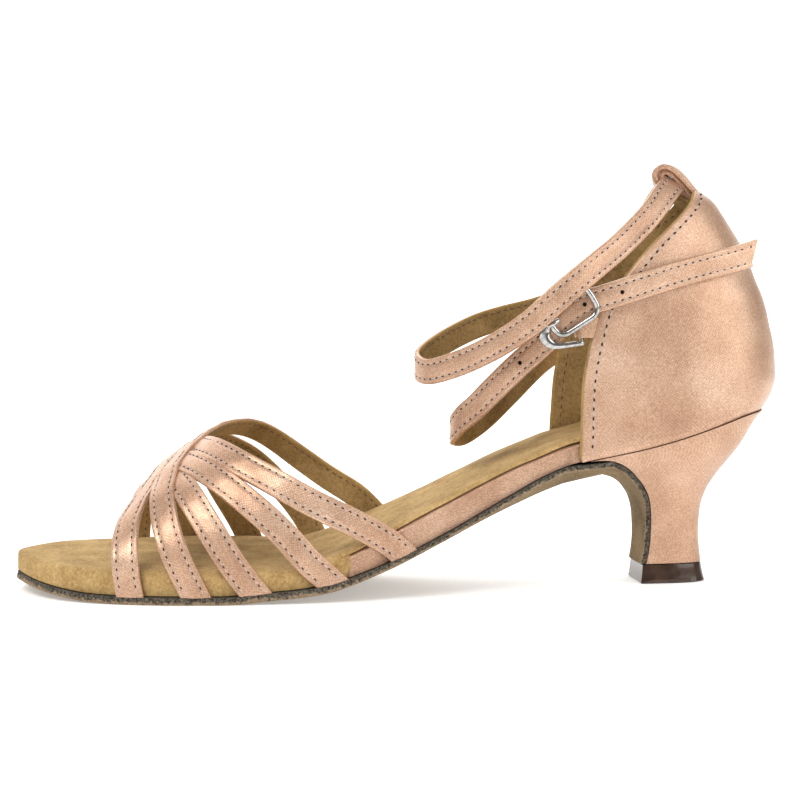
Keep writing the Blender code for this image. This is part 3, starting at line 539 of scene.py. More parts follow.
def makeOutsoleSuede():
    # The attribute cut is 0 at the sole's top, 1 at its underside and 2 on the underside itself
    material, tree, shader = startMaterial("outsoleSuede", Sheen_Weight=0.04, Sheen_Roughness=0.5,
                                           Specular_IOR_Level=0.10)
    fibres = bodyNoise(tree, 1.4, 3.0, 0.7)
    tufts = bodyNoise(tree, 0.62, 4.0, 0.75)
    spots = bodyNoise(tree, 0.09, 3.0)
    cut = addNode(tree, "ShaderNodeAttribute", attribute_name="cut").outputs["Fac"]
    frayed = scaled(tree, tufts, -outsoleLook["wander"], outsoleLook["wander"], 0.3, 0.7)
    leather = ramp(tree, fibres, tuple(zip((0.36, 0.64), outsoleLook["leather"])))
    fuzz = ramp(tree, fibres, tuple(zip((0.40, 0.68), outsoleLook["fuzz"])))
    worn = summed(tree, ((fibres, 0.6), (spots, 0.4)))
    nap = ramp(tree, worn, tuple(zip((0.38, 0.62), outsoleLook["nap"])))
    edge = scaled(tree, mathOf(tree, "ADD", cut, frayed), 0.0, 1.0, 0.45, 0.72)
    side = mixColour(tree, edge, fuzz, leather)
    colour = mixColour(tree, scaled(tree, cut, 0.0, 1.0, 1.05, 1.5), side, nap)
    finishMaterial(tree, shader, colour, scaled(tree, fibres, 0.86, 1.0),
                   ((tufts, 0.5, 0.0005), (fibres, 0.7, 0.00028)))
    return material


tipLook = {"tones": ((0.036, 0.017, 0.008), (0.056, 0.028, 0.015)), "roughness": 0.10, "coat": 0.3,
           "scratch": 0.45}


def makeTipPlastic():
    material, tree, shader = startMaterial("tipPlastic", Coat_Weight=tipLook["coat"], Coat_Roughness=0.06,
                                           Specular_IOR_Level=0.5)
    clouds = bodyNoise(tree, 0.25)
    scratches = bodyNoise(tree, 1.2, 2.0, 0.6, (0.2, 1.0, 3.0))
    colour = ramp(tree, clouds, tuple(zip((0.35, 0.65), tipLook["tones"])))
    roughness = scaled(tree, scratches, tipLook["roughness"], tipLook["roughness"] + 0.16, 0.35, 0.75)
    finishMaterial(tree, shader, colour, roughness,
                   ((clouds, 0.12, 0.0004), (scratches, tipLook["scratch"], 0.00006)))
    return material


chromeLook = {"tones": ((0.34, 0.33, 0.31), (0.66, 0.65, 0.63)), "polished": 0.03, "worn": 0.11}


def makeChrome():
    material, tree, shader = startMaterial("buckleChrome", Metallic=1.0)
    wear = bodyNoise(tree, 0.9, 3.0, 0.6)
    colour = ramp(tree, wear, tuple(zip((0.3, 0.7), chromeLook["tones"])))
    roughness = scaled(tree, wear, chromeLook["polished"], chromeLook["worn"], 0.3, 0.8)
    finishMaterial(tree, shader, colour, roughness, ((wear, 0.10, 0.00012),))
    return material


# Threads: two tones and the roughness
threadLooks = {
    "paleThread": ((0.46, 0.38, 0.34), (0.66, 0.58, 0.53), 0.6),
    "darkThread": ((0.060, 0.036, 0.016), (0.160, 0.105, 0.055), 0.7),
    # The needle holes' tones are painted shade, dark marks for the shade inside needle holes and punched
    # holes
    "paintedHoleShade": ((0.030, 0.016, 0.010), (0.062, 0.036, 0.024), 0.85),
}


def makeThread(name):
    dark, light, roughness = threadLooks[name]
    material, tree, shader = startMaterial(name, Specular_IOR_Level=0.25, Sheen_Weight=0.2)
    strands = bodyNoise(tree, 4.0, 1.0)
    finishMaterial(tree, shader, ramp(tree, strands, ((0.35, dark), (0.65, light))),
                   scaled(tree, strands, roughness - 0.05, roughness + 0.1), ((strands, 0.4, 0.00006),))
    return material


satin = makeSatin()
bedSuede, liningSuede, cutEdge = (makeSuede(name) for name in suedeLooks)
soleSuede = makeOutsoleSuede()
tipPlastic = makeTipPlastic()
chrome = makeChrome()
thread, darkThread, paintedHoleShade = (makeThread(name) for name in threadLooks)
print("stage: materials made")


# Mesh making
def turnOut(data):
    mesh = bmesh.new()
    mesh.from_mesh(data)
    bmesh.ops.recalc_face_normals(mesh, faces=mesh.faces)
    mesh.to_mesh(data)
    mesh.free()


def linked(name, data):
    thing = bpy.data.objects.new(name, data)
    bpy.context.scene.collection.objects.link(thing)
    return thing


def finishMesh(name, data, materials, smoothAngle, stands):
    turnOut(data)
    for material in materials:
        data.materials.append(material)
    data.shade_smooth()
    data.set_sharp_from_angle(angle=math.radians(smoothAngle))
    piece = linked(name, data)
    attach(piece, "root")
    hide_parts(*stands)
    return piece


def tube(name, rings, paint, closed=False):
    # Mesh data of a body through rings of equal count; UV runs along and round it in metres
    rings = np.asarray(rings, float)
    count, size = rings.shape[:2]
    points = rings.reshape(-1, 3)
    along = runLength(rings.mean(axis=1))
    if closed:
        along = np.append(along, along[-1] + np.linalg.norm(rings[0].mean(axis=0) - rings[-1].mean(axis=0)))
    looped = np.concatenate([rings, rings[:, :1]], axis=1)
    around = np.cumsum(np.linalg.norm(np.diff(looped, axis=1, prepend=looped[:, :1]), axis=2), axis=1)
    faces, uvs, slots = [], [], []
    for i in range(count if closed else count - 1):
        n = (i + 1) % count
        for j in range(size):
            m = (j + 1) % size
            faces.append((i * size + j, i * size + m, n * size + m, n * size + j))
            uvs += [(along[i], around[i][j]), (along[i], around[i][j + 1]),
                    (along[i + 1], around[n][j + 1]), (along[i + 1], around[n][j])]
            slots.append(paint[j])
    if not closed:
        points = np.vstack([points, rings[0].mean(axis=0), rings[-1].mean(axis=0)])
        for base, centre, order in ((0, len(points) - 2, 1), ((count - 1) * size, len(points) - 1, -1)):
            for j in range(size):
                m = (j + 1) % size
                corner = (base + m, base + j, centre)[::order]
                faces.append(corner)
                uvs += [(around[0][j], 0.0), (around[0][j + 1], 0.0), (around[0][j], 0.003)]
                slots.append(paint[j])
    data = bpy.data.meshes.new(name)
    data.from_pydata([tuple(p) for p in points], [], faces)
    layer = data.uv_layers.new(name="UVMap")
    layer.data.foreach_set("uv", np.array(uvs, np.float32).ravel())
    data.polygons.foreach_set("material_index", np.array(slots, np.int32))
    data.update()
    return data


def tubePiece(name, rings, material, smoothAngle, stands, closed=False):
    data = tube(name, rings, [0] * len(rings[0]), closed)
    return finishMesh(name, data, [material], smoothAngle, [stands])


def slabRing(x, lateral, medial, bottom, top, radius, lean, flats):
    # Section of a slab with rounded upper edges, its top leaning to one side
    middle, half = (lateral + medial) / 2, (medial - lateral) / 2
    radius = min(radius, 0.9 * half, 0.7 * (top - bottom))
    turns = np.radians(np.linspace(0, 90, 8))
    points = []
    for turn in turns:
        y = lateral + radius * (1 - math.cos(turn))
        points.append((x, y, top + lean * (y - middle) / half - radius * (1 - math.sin(turn))))
    for step in np.linspace(-1, 1, flats + 2)[1:-1]:
        y = middle + (half - radius) * step
        points.append((x, y, top + lean * (y - middle) / half))
    for turn in turns[::-1]:
        y = medial - radius * (1 - math.cos(turn))
        points.append((x, y, top + lean * (y - middle) / half - radius * (1 - math.sin(turn))))
    for step in np.linspace(1, -1, 9):
        points.append((x, middle + half * step, bottom))
    return points


# Sole, worn on the outside with its cut edge dark and fuzzy
outsole = {"fuzz": 0.000352, "fuzzSize": 0.0011, "bulge": 0.00012, "corner": 0.00025, "darkShare": 0.50,
           "darkOnHeel": 0.35, "stations": 110}


def soleRows():
    rows = []
    for along in evenTurns(0.004, 0.700, outsole["stations"]):
        x, lateral, medial = insetPlan(along, 0.0)
        thick = layers["soleThickness"]
        if along > 0.40:
            thick += (layers["soleEdge"] - layers["soleThickness"]) * min(1.0, (along - 0.40) / 0.12)
        deep = layers["soleThickness"] + layers["build"] * sideCurves["belly"](along)
        rows.append((x, soleTop(along), lateral, medial, thick, deep, 0.0))
    for section in np.arange(8.0, -0.01, -0.25):
        corner = heelRing(section, [(-1, 0.0), (1, 0.0)])
        deep = layers["breast"] + layers["build"] * heelCurves["belly"](section)
        thin = min(layers["soleEdge"], layers["breast"])
        rows.append((corner[0][0], corner[0][2], corner[0][1], corner[1][1], thin, deep, 1.0))
    return smoothPath(rows, 2)


def heelRing(section, sides):
    row = {name: float(heelCurves[name](section)) for name in heelColumns}
    points = []
    for side, turn in sides:
        reach = math.sin(turn) ** (2 / row["square"])
        along = row["front"] + (row["back"] - row["front"]) * reach
        swell = row["half"] * shoe["ballWidth"] * abs(math.cos(turn)) ** (2 / row["square"])
        column = "lateral" if side < 0 else "medial"
        width = swell + (abs(float(planSide(column, min(along, layers["planEnd"])))) - swell) * row["plan"]
        level = row["frontUp"] + (row["backUp"] - row["frontUp"]) * reach
        lift = shoe["heelRise"] * level
        points.append((place(along), side * width, lift + (float(soleTop(along)) - lift) * row["plan"] ** 3))
    return points


def soleRing(start, down, middle, half, thick, deep, onHeel):
    # Top, one side, the belly and the other side, with how far down the cut edge each point is
    steps = np.array((0.18, 0.40, 0.62, 0.84))
    bottoms = np.sign(np.linspace(1, -1, 27)) * np.abs(np.linspace(1, -1, 27)) ** 0.62
    dark = outsole["darkShare"] + outsole["darkOnHeel"] * onHeel
    edge = [(thick * step, half + outsole["bulge"] * math.sin(math.pi * step), step * 0.5 / dark)
            for step in steps]
    rows = [(0.0, middle + half * part, 0.0) for part in np.linspace(-1, 1, 9)]
    rows += [(depth, middle + out, cut) for depth, out, cut in edge]
    for part in bottoms:
        atCorner = abs(part) > 0.999
        inset = outsole["corner"] if atCorner else 0.0
        depth = thick + (deep - thick) * (1 - abs(part) ** 2.2)
        rows.append((depth, middle + (half - inset) * part, 1.0 if atCorner else 2.0))
    rows += [(depth, middle - out, cut) for depth, out, cut in edge[::-1]]
    ring = [start + down * depth + np.array([0.0, y, 0.0]) for depth, y, cut in rows]
    return ring, [row[2] for row in rows]


def makeOutsole():
    rows = soleRows()
    rings, cuts = [], []
    for k, (x, z, lateral, medial, thick, deep, onHeel) in enumerate(rows):
        ahead, behind = rows[min(k + 1, len(rows) - 1)], rows[max(k - 1, 0)]
        way = unit(np.array([ahead[0] - behind[0], 0.0, ahead[1] - behind[1]]))
        if k == len(rows) - 1:
            way = np.array([0.0, 0.0, -1.0])
        down = np.array([way[2], 0.0, -way[0]])
        start = np.array([x, 0.0, z]) + down * shoe["clearance"] * onHeel
        ring, cut = soleRing(start, down, (lateral + medial) / 2, (medial - lateral) / 2, thick, deep, onHeel)
        rings.append(ring)
        cuts.append(cut)
    rings, cuts = np.array(rings), np.array(cuts)
    side = np.sign(rings[..., 1]) * (np.abs(cuts - 0.5) < 0.45)
    rings[..., 1] += side * wave(rings, outsole["fuzzSize"]) * outsole["fuzz"]
    data = tube("outsoleDressed", rings, [0] * rings.shape[1])
    layer = data.attributes.new("cut", "FLOAT", "POINT")
    layer.data.foreach_set("value", np.append(cuts.ravel(), [0.5, 0.5]).astype(np.float32))
    finishMesh("outsoleDressed", data, [soleSuede], 50, ["outsole"])


makeOutsole()
print("stage: sole made")


# Footbed: a thick front pad wrapped in suede and a thin sock behind it, on the satin-sided board
bed = {"dent": 0.0005, "dentLength": 0.0075, "wave": 0.00022, "cornerRadius": 0.0030, "sockUnder": 0.0030,
       "tucked": 0.0004, "fill": 0.85}
board = {"padUnder": 0.0040, "tucked": 0.0006, "pull": 0.00010, "crease": 0.00012, "lip": 0.00060,
         "lipDown": 0.0008, "lipHeight": 0.0006}
strapFeet = {"lateral": (0.145, 0.221, 0.289, 0.385, 0.474), "medial": (0.152, 0.224, 0.314, 0.400, 0.482)}


def besideStrap(along):
    # Room at the pad's side for the straps, growing from the toe
    grown = min(1.0, max(0.0, (along - 0.02) / 0.09))
    return shoe["clearance"] + (layers["strap"] + shoe["clearance"]) * grown


def cupSide(column, along, gap):
    side = -1 if column == "lateral" else 1
    low, high = 0.0, 1.0
    for halving in range(20):
        middle = (low + high) / 2
        if counterPoints(0.0, side, np.array([middle]), layers["wall"] + gap)[0][0] < place(along):
            low = middle
        else:
            high = middle
    return counterPoints(0.0, side, np.array([low]), layers["wall"] + gap)[0][1]


def counterPoints(level, side, reach, depth):
    # Points of the counter at one level: reach 0 is the quarter's front edge, 1 the middle of the back
    row = {name: float(counterCurves[name](level)) for name in counterColumns}
    start = place(layers["quarterFront"])
    length = place(row["back"]) - depth - start
    shut = max(0.0, (place(row["edgeOut"] if side < 0 else row["edgeIn"]) - start) / length)
    first = math.asin(min(1.0, shut ** (row["square"] / 2)))
    turn = first + (math.pi / 2 - first) * reach
    xShare = np.sin(turn) ** (2 / row["square"])
    x = start + length * xShare
    column = "lateral" if side < 0 else "medial"
    half = row[column] * shoe["ballWidth"] - depth
    width = half * np.abs(np.cos(turn)) ** (2 / row["square"])
    planAt = layers["quarterFront"] + (layers["planEnd"] - layers["quarterFront"]) * xShare
    onPlan = np.abs(planSide(column, planAt)) - depth * np.minimum(1.0, 1.6 * np.cos(turn) + 0.2)
    width = width + (np.maximum(0.0, onPlan) - width) * row["seam"]
    width = np.where(reach < 1.0, width, 0.0)
    seat = soleTop(np.minimum(share(x), layers["planEnd"])) + shoe["clearance"]
    z = seatBack() + layers["counterHeight"] * level + (seat - seatBack()) * row["seam"]
    return np.stack([x, side * width, z], axis=-1)


def waistStations(count):
    beside = layers["strap"] + 2 * shoe["clearance"]
    gap = 2.4 * shoe["clearance"]
    ends = layers["padEnd"] + 0.0008, layers["quarterFront"] - 0.012
    rows = [insetPlan(along, beside) for along in evenTurns(*ends, count)]
    last = share(place(layers["planEnd"]) - layers["wall"] - gap)
    for along in (layers["quarterFront"] - 0.006, layers["quarterFront"] + 0.002):
        rows.append(insetPlan(along, layers["wall"] + gap))
    first = layers["quarterFront"] + 0.012
    for k in range(30):
        along = first + (last - first) * math.sin(math.radians(86) * k / 29)
        rows.append((place(along), cupSide("lateral", along, gap), cupSide("medial", along, gap)))
    return [tuple(float(v) for v in row) for row in rows]


def pressed(along, side):
    # How far the straps press the pad's edge in, from 0 to 1
    step = np.array([(along - foot) * shoe["length"] / bed["dentLength"] for foot in strapFeet[side]])
    return float(np.exp(-step ** 2 * 2).max())


def softWaves(rings):
    return (wave(rings, 0.016) + 0.5 * wave(rings, 0.006, 3.0)) * bed["wave"]


def makePad():
    rings = []
    for along in evenTurns(0.002, layers["padEnd"], 120):
        along = float(along)
        x, lateral, medial = (float(v) for v in insetPlan(along, besideStrap(along)))
        at = float(share(x))
        top, bottom = float(bedTop(at)), float(soleTop(at)) + shoe["clearance"]
        toEnd = 1 - (layers["padEnd"] - along) * shoe["length"] / bed["cornerRadius"]
        if toEnd > 0:
            bottom += bed["cornerRadius"] * (1 - math.sqrt(max(0.0, 1 - toEnd ** 2)))
        lean = layers["lean"] * min(1.0, max(0.0, (layers["padEnd"] - at) / 0.10)) * min(1.0, at / 0.08)
        lateral += bed["dent"] * pressed(at, "lateral")
        medial -= bed["dent"] * pressed(at, "medial")
        rings.append(slabRing(x, lateral, medial, bottom, top, layers["bedRadius"], lean, 22))
    rings = np.array(rings)
    rings[..., 2] += softWaves(rings) * (rings[..., 2] > rings[..., 2].min(axis=1, keepdims=True) + 0.003)
    return tubePiece("footbedPad", rings, bedSuede, 60, "footbed")


def runUnder(first, length, tucked, count):
    # Sections that carry a waist piece on under the pad
    return [(first[0] - length * (1 - k / count), first[1] + tucked, first[2] - tucked) for k in range(count)]


def makeSock():
    rows = waistStations(60)
    rings = []
    for x, lateral, medial in runUnder(rows[0], bed["sockUnder"], bed["tucked"], 4) + rows:
        top = float(bedTop(float(share(x)))) - (0.0001 if x < rows[0][0] else 0.0)
        rings.append(slabRing(x, lateral, medial, top - layers["sock"], top, layers["bedRadius"], 0.0, 22))
    rings = np.array(rings)
    rings[..., 2] += softWaves(rings)
    tubePiece("footbedSock", rings, bedSuede, 60, "footbed")


def makeBoard():
    rows = waistStations(90)
    rings = []
    for x, lateral, medial in runUnder(rows[0], board["padUnder"], board["tucked"], 6) + rows:
        at = float(share(x))
        top = float(bedTop(at)) - layers["sock"] - shoe["clearance"]
        bottom = float(soleTop(at)) + shoe["clearance"]
        rings.append(slabRing(x, lateral, medial, bottom, top, layers["boardRadius"], 0.0, 8))
    rings = np.array(rings)
    # Folds where the satin is pulled under the waist
    pull = np.sin(rings[..., 0] * 900 + 6 * wave(rings, 0.03)) * board["pull"]
    pull = pull + wave(rings, 0.005, 2.0) * board["crease"]
    rings[..., 1] += np.sign(rings[..., 1]) * pull
    # The turned-over satin makes a soft lip along the upper edge
    below = rings[..., 2].max(axis=1, keepdims=True) - rings[..., 2]
    lip = np.exp(-((below - board["lipDown"]) / board["lipHeight"]) ** 2) * board["lip"]
    rings[..., 1] += np.sign(rings[..., 1]) * lip
    tubePiece("boardCovered", rings, satin, 60, "insole_board")


footPad = makePad()
makeSock()
makeBoard()
print("stage: footbed and board made")


# Heel block under satin, and the plastic tip
heel = {"tipFlare": 0.0006, "tipBevel": 0.00035, "crease": 0.00016, "uneven": 0.00005}


def heelTurns(count):
    turns = [math.pi / 2 * k / count for k in range(count + 1)]
    return [(-1, turn) for turn in turns] + [(1, turn) for turn in reversed(turns[:-1])]


def makeHeel():
    sides = heelTurns(26)
    rings = []
    for section in np.concatenate((np.linspace(0, 8, 65), np.linspace(8, 9, 12)[1:])):
        ring = np.array(heelRing(section, sides))
        front = np.linspace(ring[-1], ring[0], 8)[1:-1]
        rings.append(np.vstack([ring, front]))
    rings = np.array(rings)
    # The cover is drawn tight and creases softly across the thin part and under the seam
    fade = np.clip((rings[..., 2] - 0.012) / 0.010, 0, 1) * np.clip((0.034 - rings[..., 2]) / 0.010, 0, 1)
    creases = wave(rings * [1, 1, 2.4], 0.010) * heel["crease"] * fade
    creases = creases + wave(rings, 0.006, 4.0) * heel["uneven"]
    rings[..., 1] += np.sign(rings[..., 1]) * creases
    tubePiece("heelCovered", rings, satin, 48, "heel")


def makeTip():
    foot = {name: float(heelCurves[name](0)) for name in heelColumns}
    top = shoe["heelRise"] * foot["frontUp"] - shoe["clearance"]
    flare, bevel = heel["tipFlare"], heel["tipBevel"]
    rings = []
    steps = ((0.0, flare, bevel), (0.03, flare, 0.3 * bevel), (0.08, flare, 0.0), (0.25, 0.7 * flare, 0.0),
             (0.60, 0.3 * flare, 0.0), (0.93, 0.0, 0.0), (0.98, 0.0, 0.25 * bevel), (1.0, 0.0, 0.8 * bevel))
    for level, grow, cut in steps:
        start = place(foot["front"]) - layers["breast"] + 2 * shoe["clearance"] - grow + cut
        end = place(foot["back"]) + grow * 2 - cut
        ring = []
        for side, turn in heelTurns(22):
            reach = math.sin(turn) ** (2 / foot["square"])
            wide = foot["half"] * shoe["ballWidth"] + grow - cut
            ring.append((start + (end - start) * reach,
                         side * wide * abs(math.cos(turn)) ** (2 / foot["square"]), top * level))
        ring += [tuple(p) for p in np.linspace(ring[-1], ring[0], 8)[1:-1]]
        rings.append(ring)
    tubePiece("heelTipMoulded", rings, tipPlastic, 30, "heel_tip")


makeHeel()
makeTip()
print("stage: heel and tip made")


# Counter: satin outside, suede inside, with a thin cut edge of the lining round its rim
counter = {"rim": 0.0006, "levels": 84, "columns": 54, "swell": 0.00022, "stitchInset": 0.0027,
           "pitch": 0.0027, "uneven": 0.00006, "liningSwell": 0.0002, "seamGap": 0.00045,
           "edge": (0.37, 0.77, 1.00, 1.50, 1.40)}


def sheetRows(depth, levels, reaches):
    grid = []
    for level in levels:
        outer = counterPoints(level, -1, reaches, depth)
        middle = counterPoints(level, -1, np.array([1.0]), depth)
        inner = counterPoints(level, 1, reaches, depth)[::-1]
        grid.append(np.vstack([outer, middle, inner]))
    return np.array(grid)


def counterSides():
    # The satin's outer and the lining's inner grid of points, softly uneven, and drawn in at the seam
    levels = np.linspace(0, 1, counter["levels"])
    reaches = np.linspace(0, 1, counter["columns"] + 1)[:-1] ** 1.15
    outer, inner = sheetRows(0.0, levels, reaches), sheetRows(layers["wall"], levels, reaches)
    lift = np.clip(levels * 9, 0, 1)[:, None] * np.clip((1 - levels) * 9, 0, 1)[:, None]
    outward = unit(outer - inner)
    bulge = wave(outer, 0.022) * counter["swell"] + wave(outer, 0.007, 5.0) * counter["uneven"]
    bulge = bulge * lift - counter["seamGap"] * np.exp(-(np.arange(len(levels)) / 0.75) ** 2)[:, None]
    outer = outer + outward * bulge[..., None]
    inner = inner + outward * (wave(inner, 0.016, 7.0) * counter["liningSwell"] * lift)[..., None]
    return outer, inner


def rimRings(outer, inner, rim):
    # The rolled edge between the two sides: flat at the seam, rounded elsewhere
    rows, columns = outer.shape[:2]
    rimOuter = np.array([outer[i, j] for i, j in rim])
    rimInner = np.array([inner[i, j] for i, j in rim])
    near = np.array([outer[min(max(i, 1), rows - 2), min(max(j, 1), columns - 2)] for i, j in rim])
    away = unit(rimOuter - near)
    away[[k for k, (i, j) in enumerate(rim) if i == 0]] = 0.0
    middle, half = (rimOuter + rimInner) / 2, (rimOuter - rimInner) / 2
    return [middle + half * math.cos(turn) + away * counter["rim"] * reach
            for turn, reach in zip(np.radians((22, 50, 90, 130, 158)), counter["edge"])]


def makeCounter():
    outer, inner = counterSides()
    rows, columns = outer.shape[:2]
    across = np.cumsum(np.linalg.norm(np.diff(outer, axis=1, prepend=outer[:, :1]), axis=2), axis=1)
    across -= across[:, columns // 2][:, None]
    upward = np.cumsum(np.linalg.norm(np.diff(outer, axis=0, prepend=outer[:1]), axis=2), axis=0)
    total = rows * columns
    faces, uvs, slots = [], [], []
    for i in range(rows - 1):
        for j in range(columns - 1):
            corners = ((i, j), (i, j + 1), (i + 1, j + 1), (i + 1, j))
            for base, order, slotAt in ((0, 1, 0), (total, -1, 1)):
                faces.append([base + a * columns + b for a, b in corners[::order]])
                uvs += [(across[a, b], upward[a, b]) for a, b in corners[::order]]
                slots.append(slotAt)
    rim = [(0, j) for j in range(columns)] + [(i, columns - 1) for i in range(1, rows)]
    rim += [(rows - 1, j) for j in range(columns - 2, -1, -1)] + [(i, 0) for i in range(rows - 2, 0, -1)]
    count = len(rim)
    edgeRings = rimRings(outer, inner, rim)
    loops = [[i * columns + j for i, j in rim]]
    loops += [list(range(2 * total + k * count, 2 * total + (k + 1) * count)) for k in range(len(edgeRings))]
    loops.append([total + i * columns + j for i, j in rim])
    wide, high = 0.0012, 0.0003
    for step, (low, up) in enumerate(zip(loops, loops[1:])):
        for k in range(count):
            n = (k + 1) % count
            faces.append((low[k], low[n], up[n], up[k]))
            u, v = k * wide, step * high
            uvs += [(u, v), (u + wide, v), (u + wide, v + high), (u, v + high)]
            slots.append(0 if step < 2 else 2)
    points = np.vstack([outer.reshape(-1, 3), inner.reshape(-1, 3)] + edgeRings)
    data = bpy.data.meshes.new("counterCovered")
    data.from_pydata([tuple(p) for p in points], [], faces)
    data.uv_layers.new(name="UVMap").data.foreach_set("uv", np.array(uvs, np.float32).ravel())
    data.polygons.foreach_set("material_index", np.array(slots, np.int32))
    data.update()
    finishMesh("counterCovered", data, [satin, liningSuede, cutEdge], 60, ["counter"])


loop = {"width": 0.0130, "thickness": 0.0016, "bow": 28.0, "turn": 14.0, "round": 0.0005,
        "crown": 0.00015, "uneven": 0.00010, "paintedShadeFrom": 0.66, "liningWidth": 0.0100, "liningThickness": 0.0017,
        "liningSide": 1, "liningStart": 10, "liningEnd": 12}


def loopFrame():
    rows = []
    for along, level in loopRows:
        turn = math.radians(loop["turn"]) * min(1.0, max(0.0, (level - 0.95) / 0.12))
        rows.append((place(along), seatBack() + layers["counterHeight"] * level, math.tan(turn)))
    path = smoothPath(rows, 8)
    ways = unit(np.gradient(path[:, :2], axis=0))
    return path, np.stack([-ways[:, 1], ways[:, 0]], axis=1)


def roundedProfile(width, thickness, radius, crown, flats):
    # Ring across a band from its lower left corner, clockwise seen along the band
    half, high = width / 2, thickness / 2
    points = []
    for cx, cz, first in ((-half + radius, high - radius, 180), (half - radius, high - radius, 90)):
        for step in range(5):
            turn = math.radians(first - 22.5 * step)
            points.append((cx + radius * math.cos(turn), cz + radius * math.sin(turn)))
        if cx < 0:
            for step in np.linspace(-1, 1, flats + 2)[1:-1]:
                points.append((step * (half - radius), high + crown * (1 - step ** 2)))
    lower = 0.4 * radius
    points += [(half, -high + lower), (half - lower, -high)]
    points += [(step * (half - lower), -high) for step in (0.86, 0.6, 0.3, 0.0, -0.3, -0.6, -0.86)]
    points += [(-half + lower, -high), (-half, -high + lower)]
    return np.array(points)


def loopRings(profile, shift, first, last):
    rings = []
    for (x, z, slant), out in list(zip(*loopFrame()))[first:last]:
        y = profile[:, 0]
        reach = profile[:, 1] + shift
        bowed = x - loop["bow"] * y * y + slant * y
        rings.append(np.stack([bowed + out[0] * reach, y, z + out[1] * reach], axis=1))
    return np.array(rings)


def makeLoop():
    profile = roundedProfile(loop["width"], loop["thickness"], loop["round"], loop["crown"], 11)
    rings = loopRings(profile, 0.0, 0, None)
    rings[..., 0] += wave(rings, 0.004, 9.0) * loop["uneven"]
    data = tube("backLoop", rings, [0] * len(profile))
    # From this share on, the loop's faces take the dark lining suede, the lining's own colour used as painted
    # shade inside the loop
    inside = int(len(rings) * loop["paintedShadeFrom"]) * len(profile)
    for face in data.polygons:
        face.material_index = 1 if face.index > inside and len(face.vertices) == 4 else 0
    finishMesh("backLoop", data, [satin, liningSuede], 60, ["counter"])


def makeLoopLining():
    # A soft inner layer fills the loop around the strap
    profile = roundedProfile(loop["liningWidth"], loop["liningThickness"], loop["round"], 0.0, 11)
    shift = loop["liningSide"] * (loop["thickness"] + loop["liningThickness"]) / 2.1
    rings = loopRings(profile, shift, loop["liningStart"], -loop["liningEnd"])
    tubePiece("loopLining", rings, satin, 60, "counter")


makeCounter()
makeLoop()
makeLoopLining()
print("stage: counter and loop made")


# Straps: folded satin over suede, two rows of stitches near the edges
strap = {
    "width": 0.0080, "thickness": 0.0013, "round": 0.00045, "crown": 0.00016, "groove": 0.00013,
    "grooveWidth": 0.0006, "stitchInset": 0.0016, "step": 0.00085, "sink": 0.0009, "pitch": 0.0024,
    "ripple": 0.00012, "rippleSize": 0.0042, "rumple": 0.45, "knot": 0.34, "stations": 230,
    "ease": 0.0036, "bend": 0.0080, "faceBend": 0.07, "liftBend": 0.0028, "tuck": 0.00035,
    "tuckFrom": 0.0003, "tuckBy": 0.0006, "footSink": 0.0007,
}


def strapProfile(width, thickness):
    profile = roundedProfile(width, thickness, strap["round"], strap["crown"], 25)
    row = width / 2 - strap["stitchInset"]
    upper = profile[:, 1] > thickness / 2 - 1e-6
    dip = np.exp(-((np.abs(profile[:, 0]) - row) / strap["grooveWidth"]) ** 2)
    profile[:, 1] -= upper * dip * strap["groove"]
    return profile


def strapPaint(profile, thickness):
    # Satin wraps the edges; below them a cut edge of the lining shows, and the underside is suede
    paint = []
    for a, b in zip(profile, np.roll(profile, -1, axis=0)):
        low = (a[1] + b[1]) / 2 < -thickness / 2 + strap["round"] * 0.4
        flat = abs(a[1] - b[1]) < 1e-7 and low
        outside = abs(a[0] + b[0]) / 2 > 0.4 * strap["width"]
        paint.append(1 if flat and not outside else (2 if low else 0))
    return paint


def bandFrame(path, facings):
    # Across and outward directions at each station
    ahead = np.gradient(path, axis=0)
    across = unit(np.cross(facings, ahead))
    out = unit(np.cross(ahead, across))
    out *= np.sign(np.sum(out * facings, axis=1, keepdims=True))
    return across, out


def bandRings(path, across, out, profile):
    return path[:, None] + across[:, None] * profile[None, :, :1] + out[:, None] * profile[None, :, 1:]


stitchGroups = ("vamp", "ankle", "counter", "vampInside", "ankleInside", "counterInside")
stitchRows = {group: [] for group in stitchGroups}


def sewRow(group, path, across, out, offset, height, pitch, start=0.0, end=1.0):
    # Places for the stitches of one row: centre, direction of the row, and outward
    line = path + across * offset + out * height
    run = runLength(line)
    first, last = run[-1] * start, run[-1] * end
    count = max(2, int((last - first) / pitch))
    at = first + (last - first) * (np.arange(count) + 0.5) / count
    centre = np.stack([np.interp(at, run, line[:, k]) for k in range(3)], axis=1)
    ahead = np.stack([np.interp(at, run, np.gradient(line, axis=0)[:, k]) for k in range(3)], axis=1)
    outward = np.stack([np.interp(at, run, out[:, k]) for k in range(3)], axis=1)
    stitchRows[group].append((centre, unit(ahead), unit(outward), (last - first) / count))


def lastPoints(along, around):
    lateral = planSide("lateral", along) + layers["strap"] / 2
    medial = planSide("medial", along) - layers["strap"] / 2
    edge = bedTop(along) - 0.3 * layers["bedRadius"]
    middle, half = (lateral + medial) / 2, (medial - lateral) / 2
    turn = np.minimum(np.abs(around), 1.0) * math.pi / 2
    crown = layers["instep"] * lastCurves["instep"](along) - edge
    y = middle + np.copysign(half * np.sin(turn), around)
    z = edge + crown * np.maximum(np.cos(turn), 0.0) ** 0.9
    z = z - np.maximum(np.abs(around) - 1.0, 0.0) * (edge - soleTop(along) - shoe["clearance"])
    return np.stack([place(along), y, z], axis=-1)


def lastFacings(along, around):
    step = 0.004
    ahead = lastPoints(along + step, around) - lastPoints(along - step, around)
    across = lastPoints(along, around + step) - lastPoints(along, around - step)
    return unit(np.cross(ahead, across))


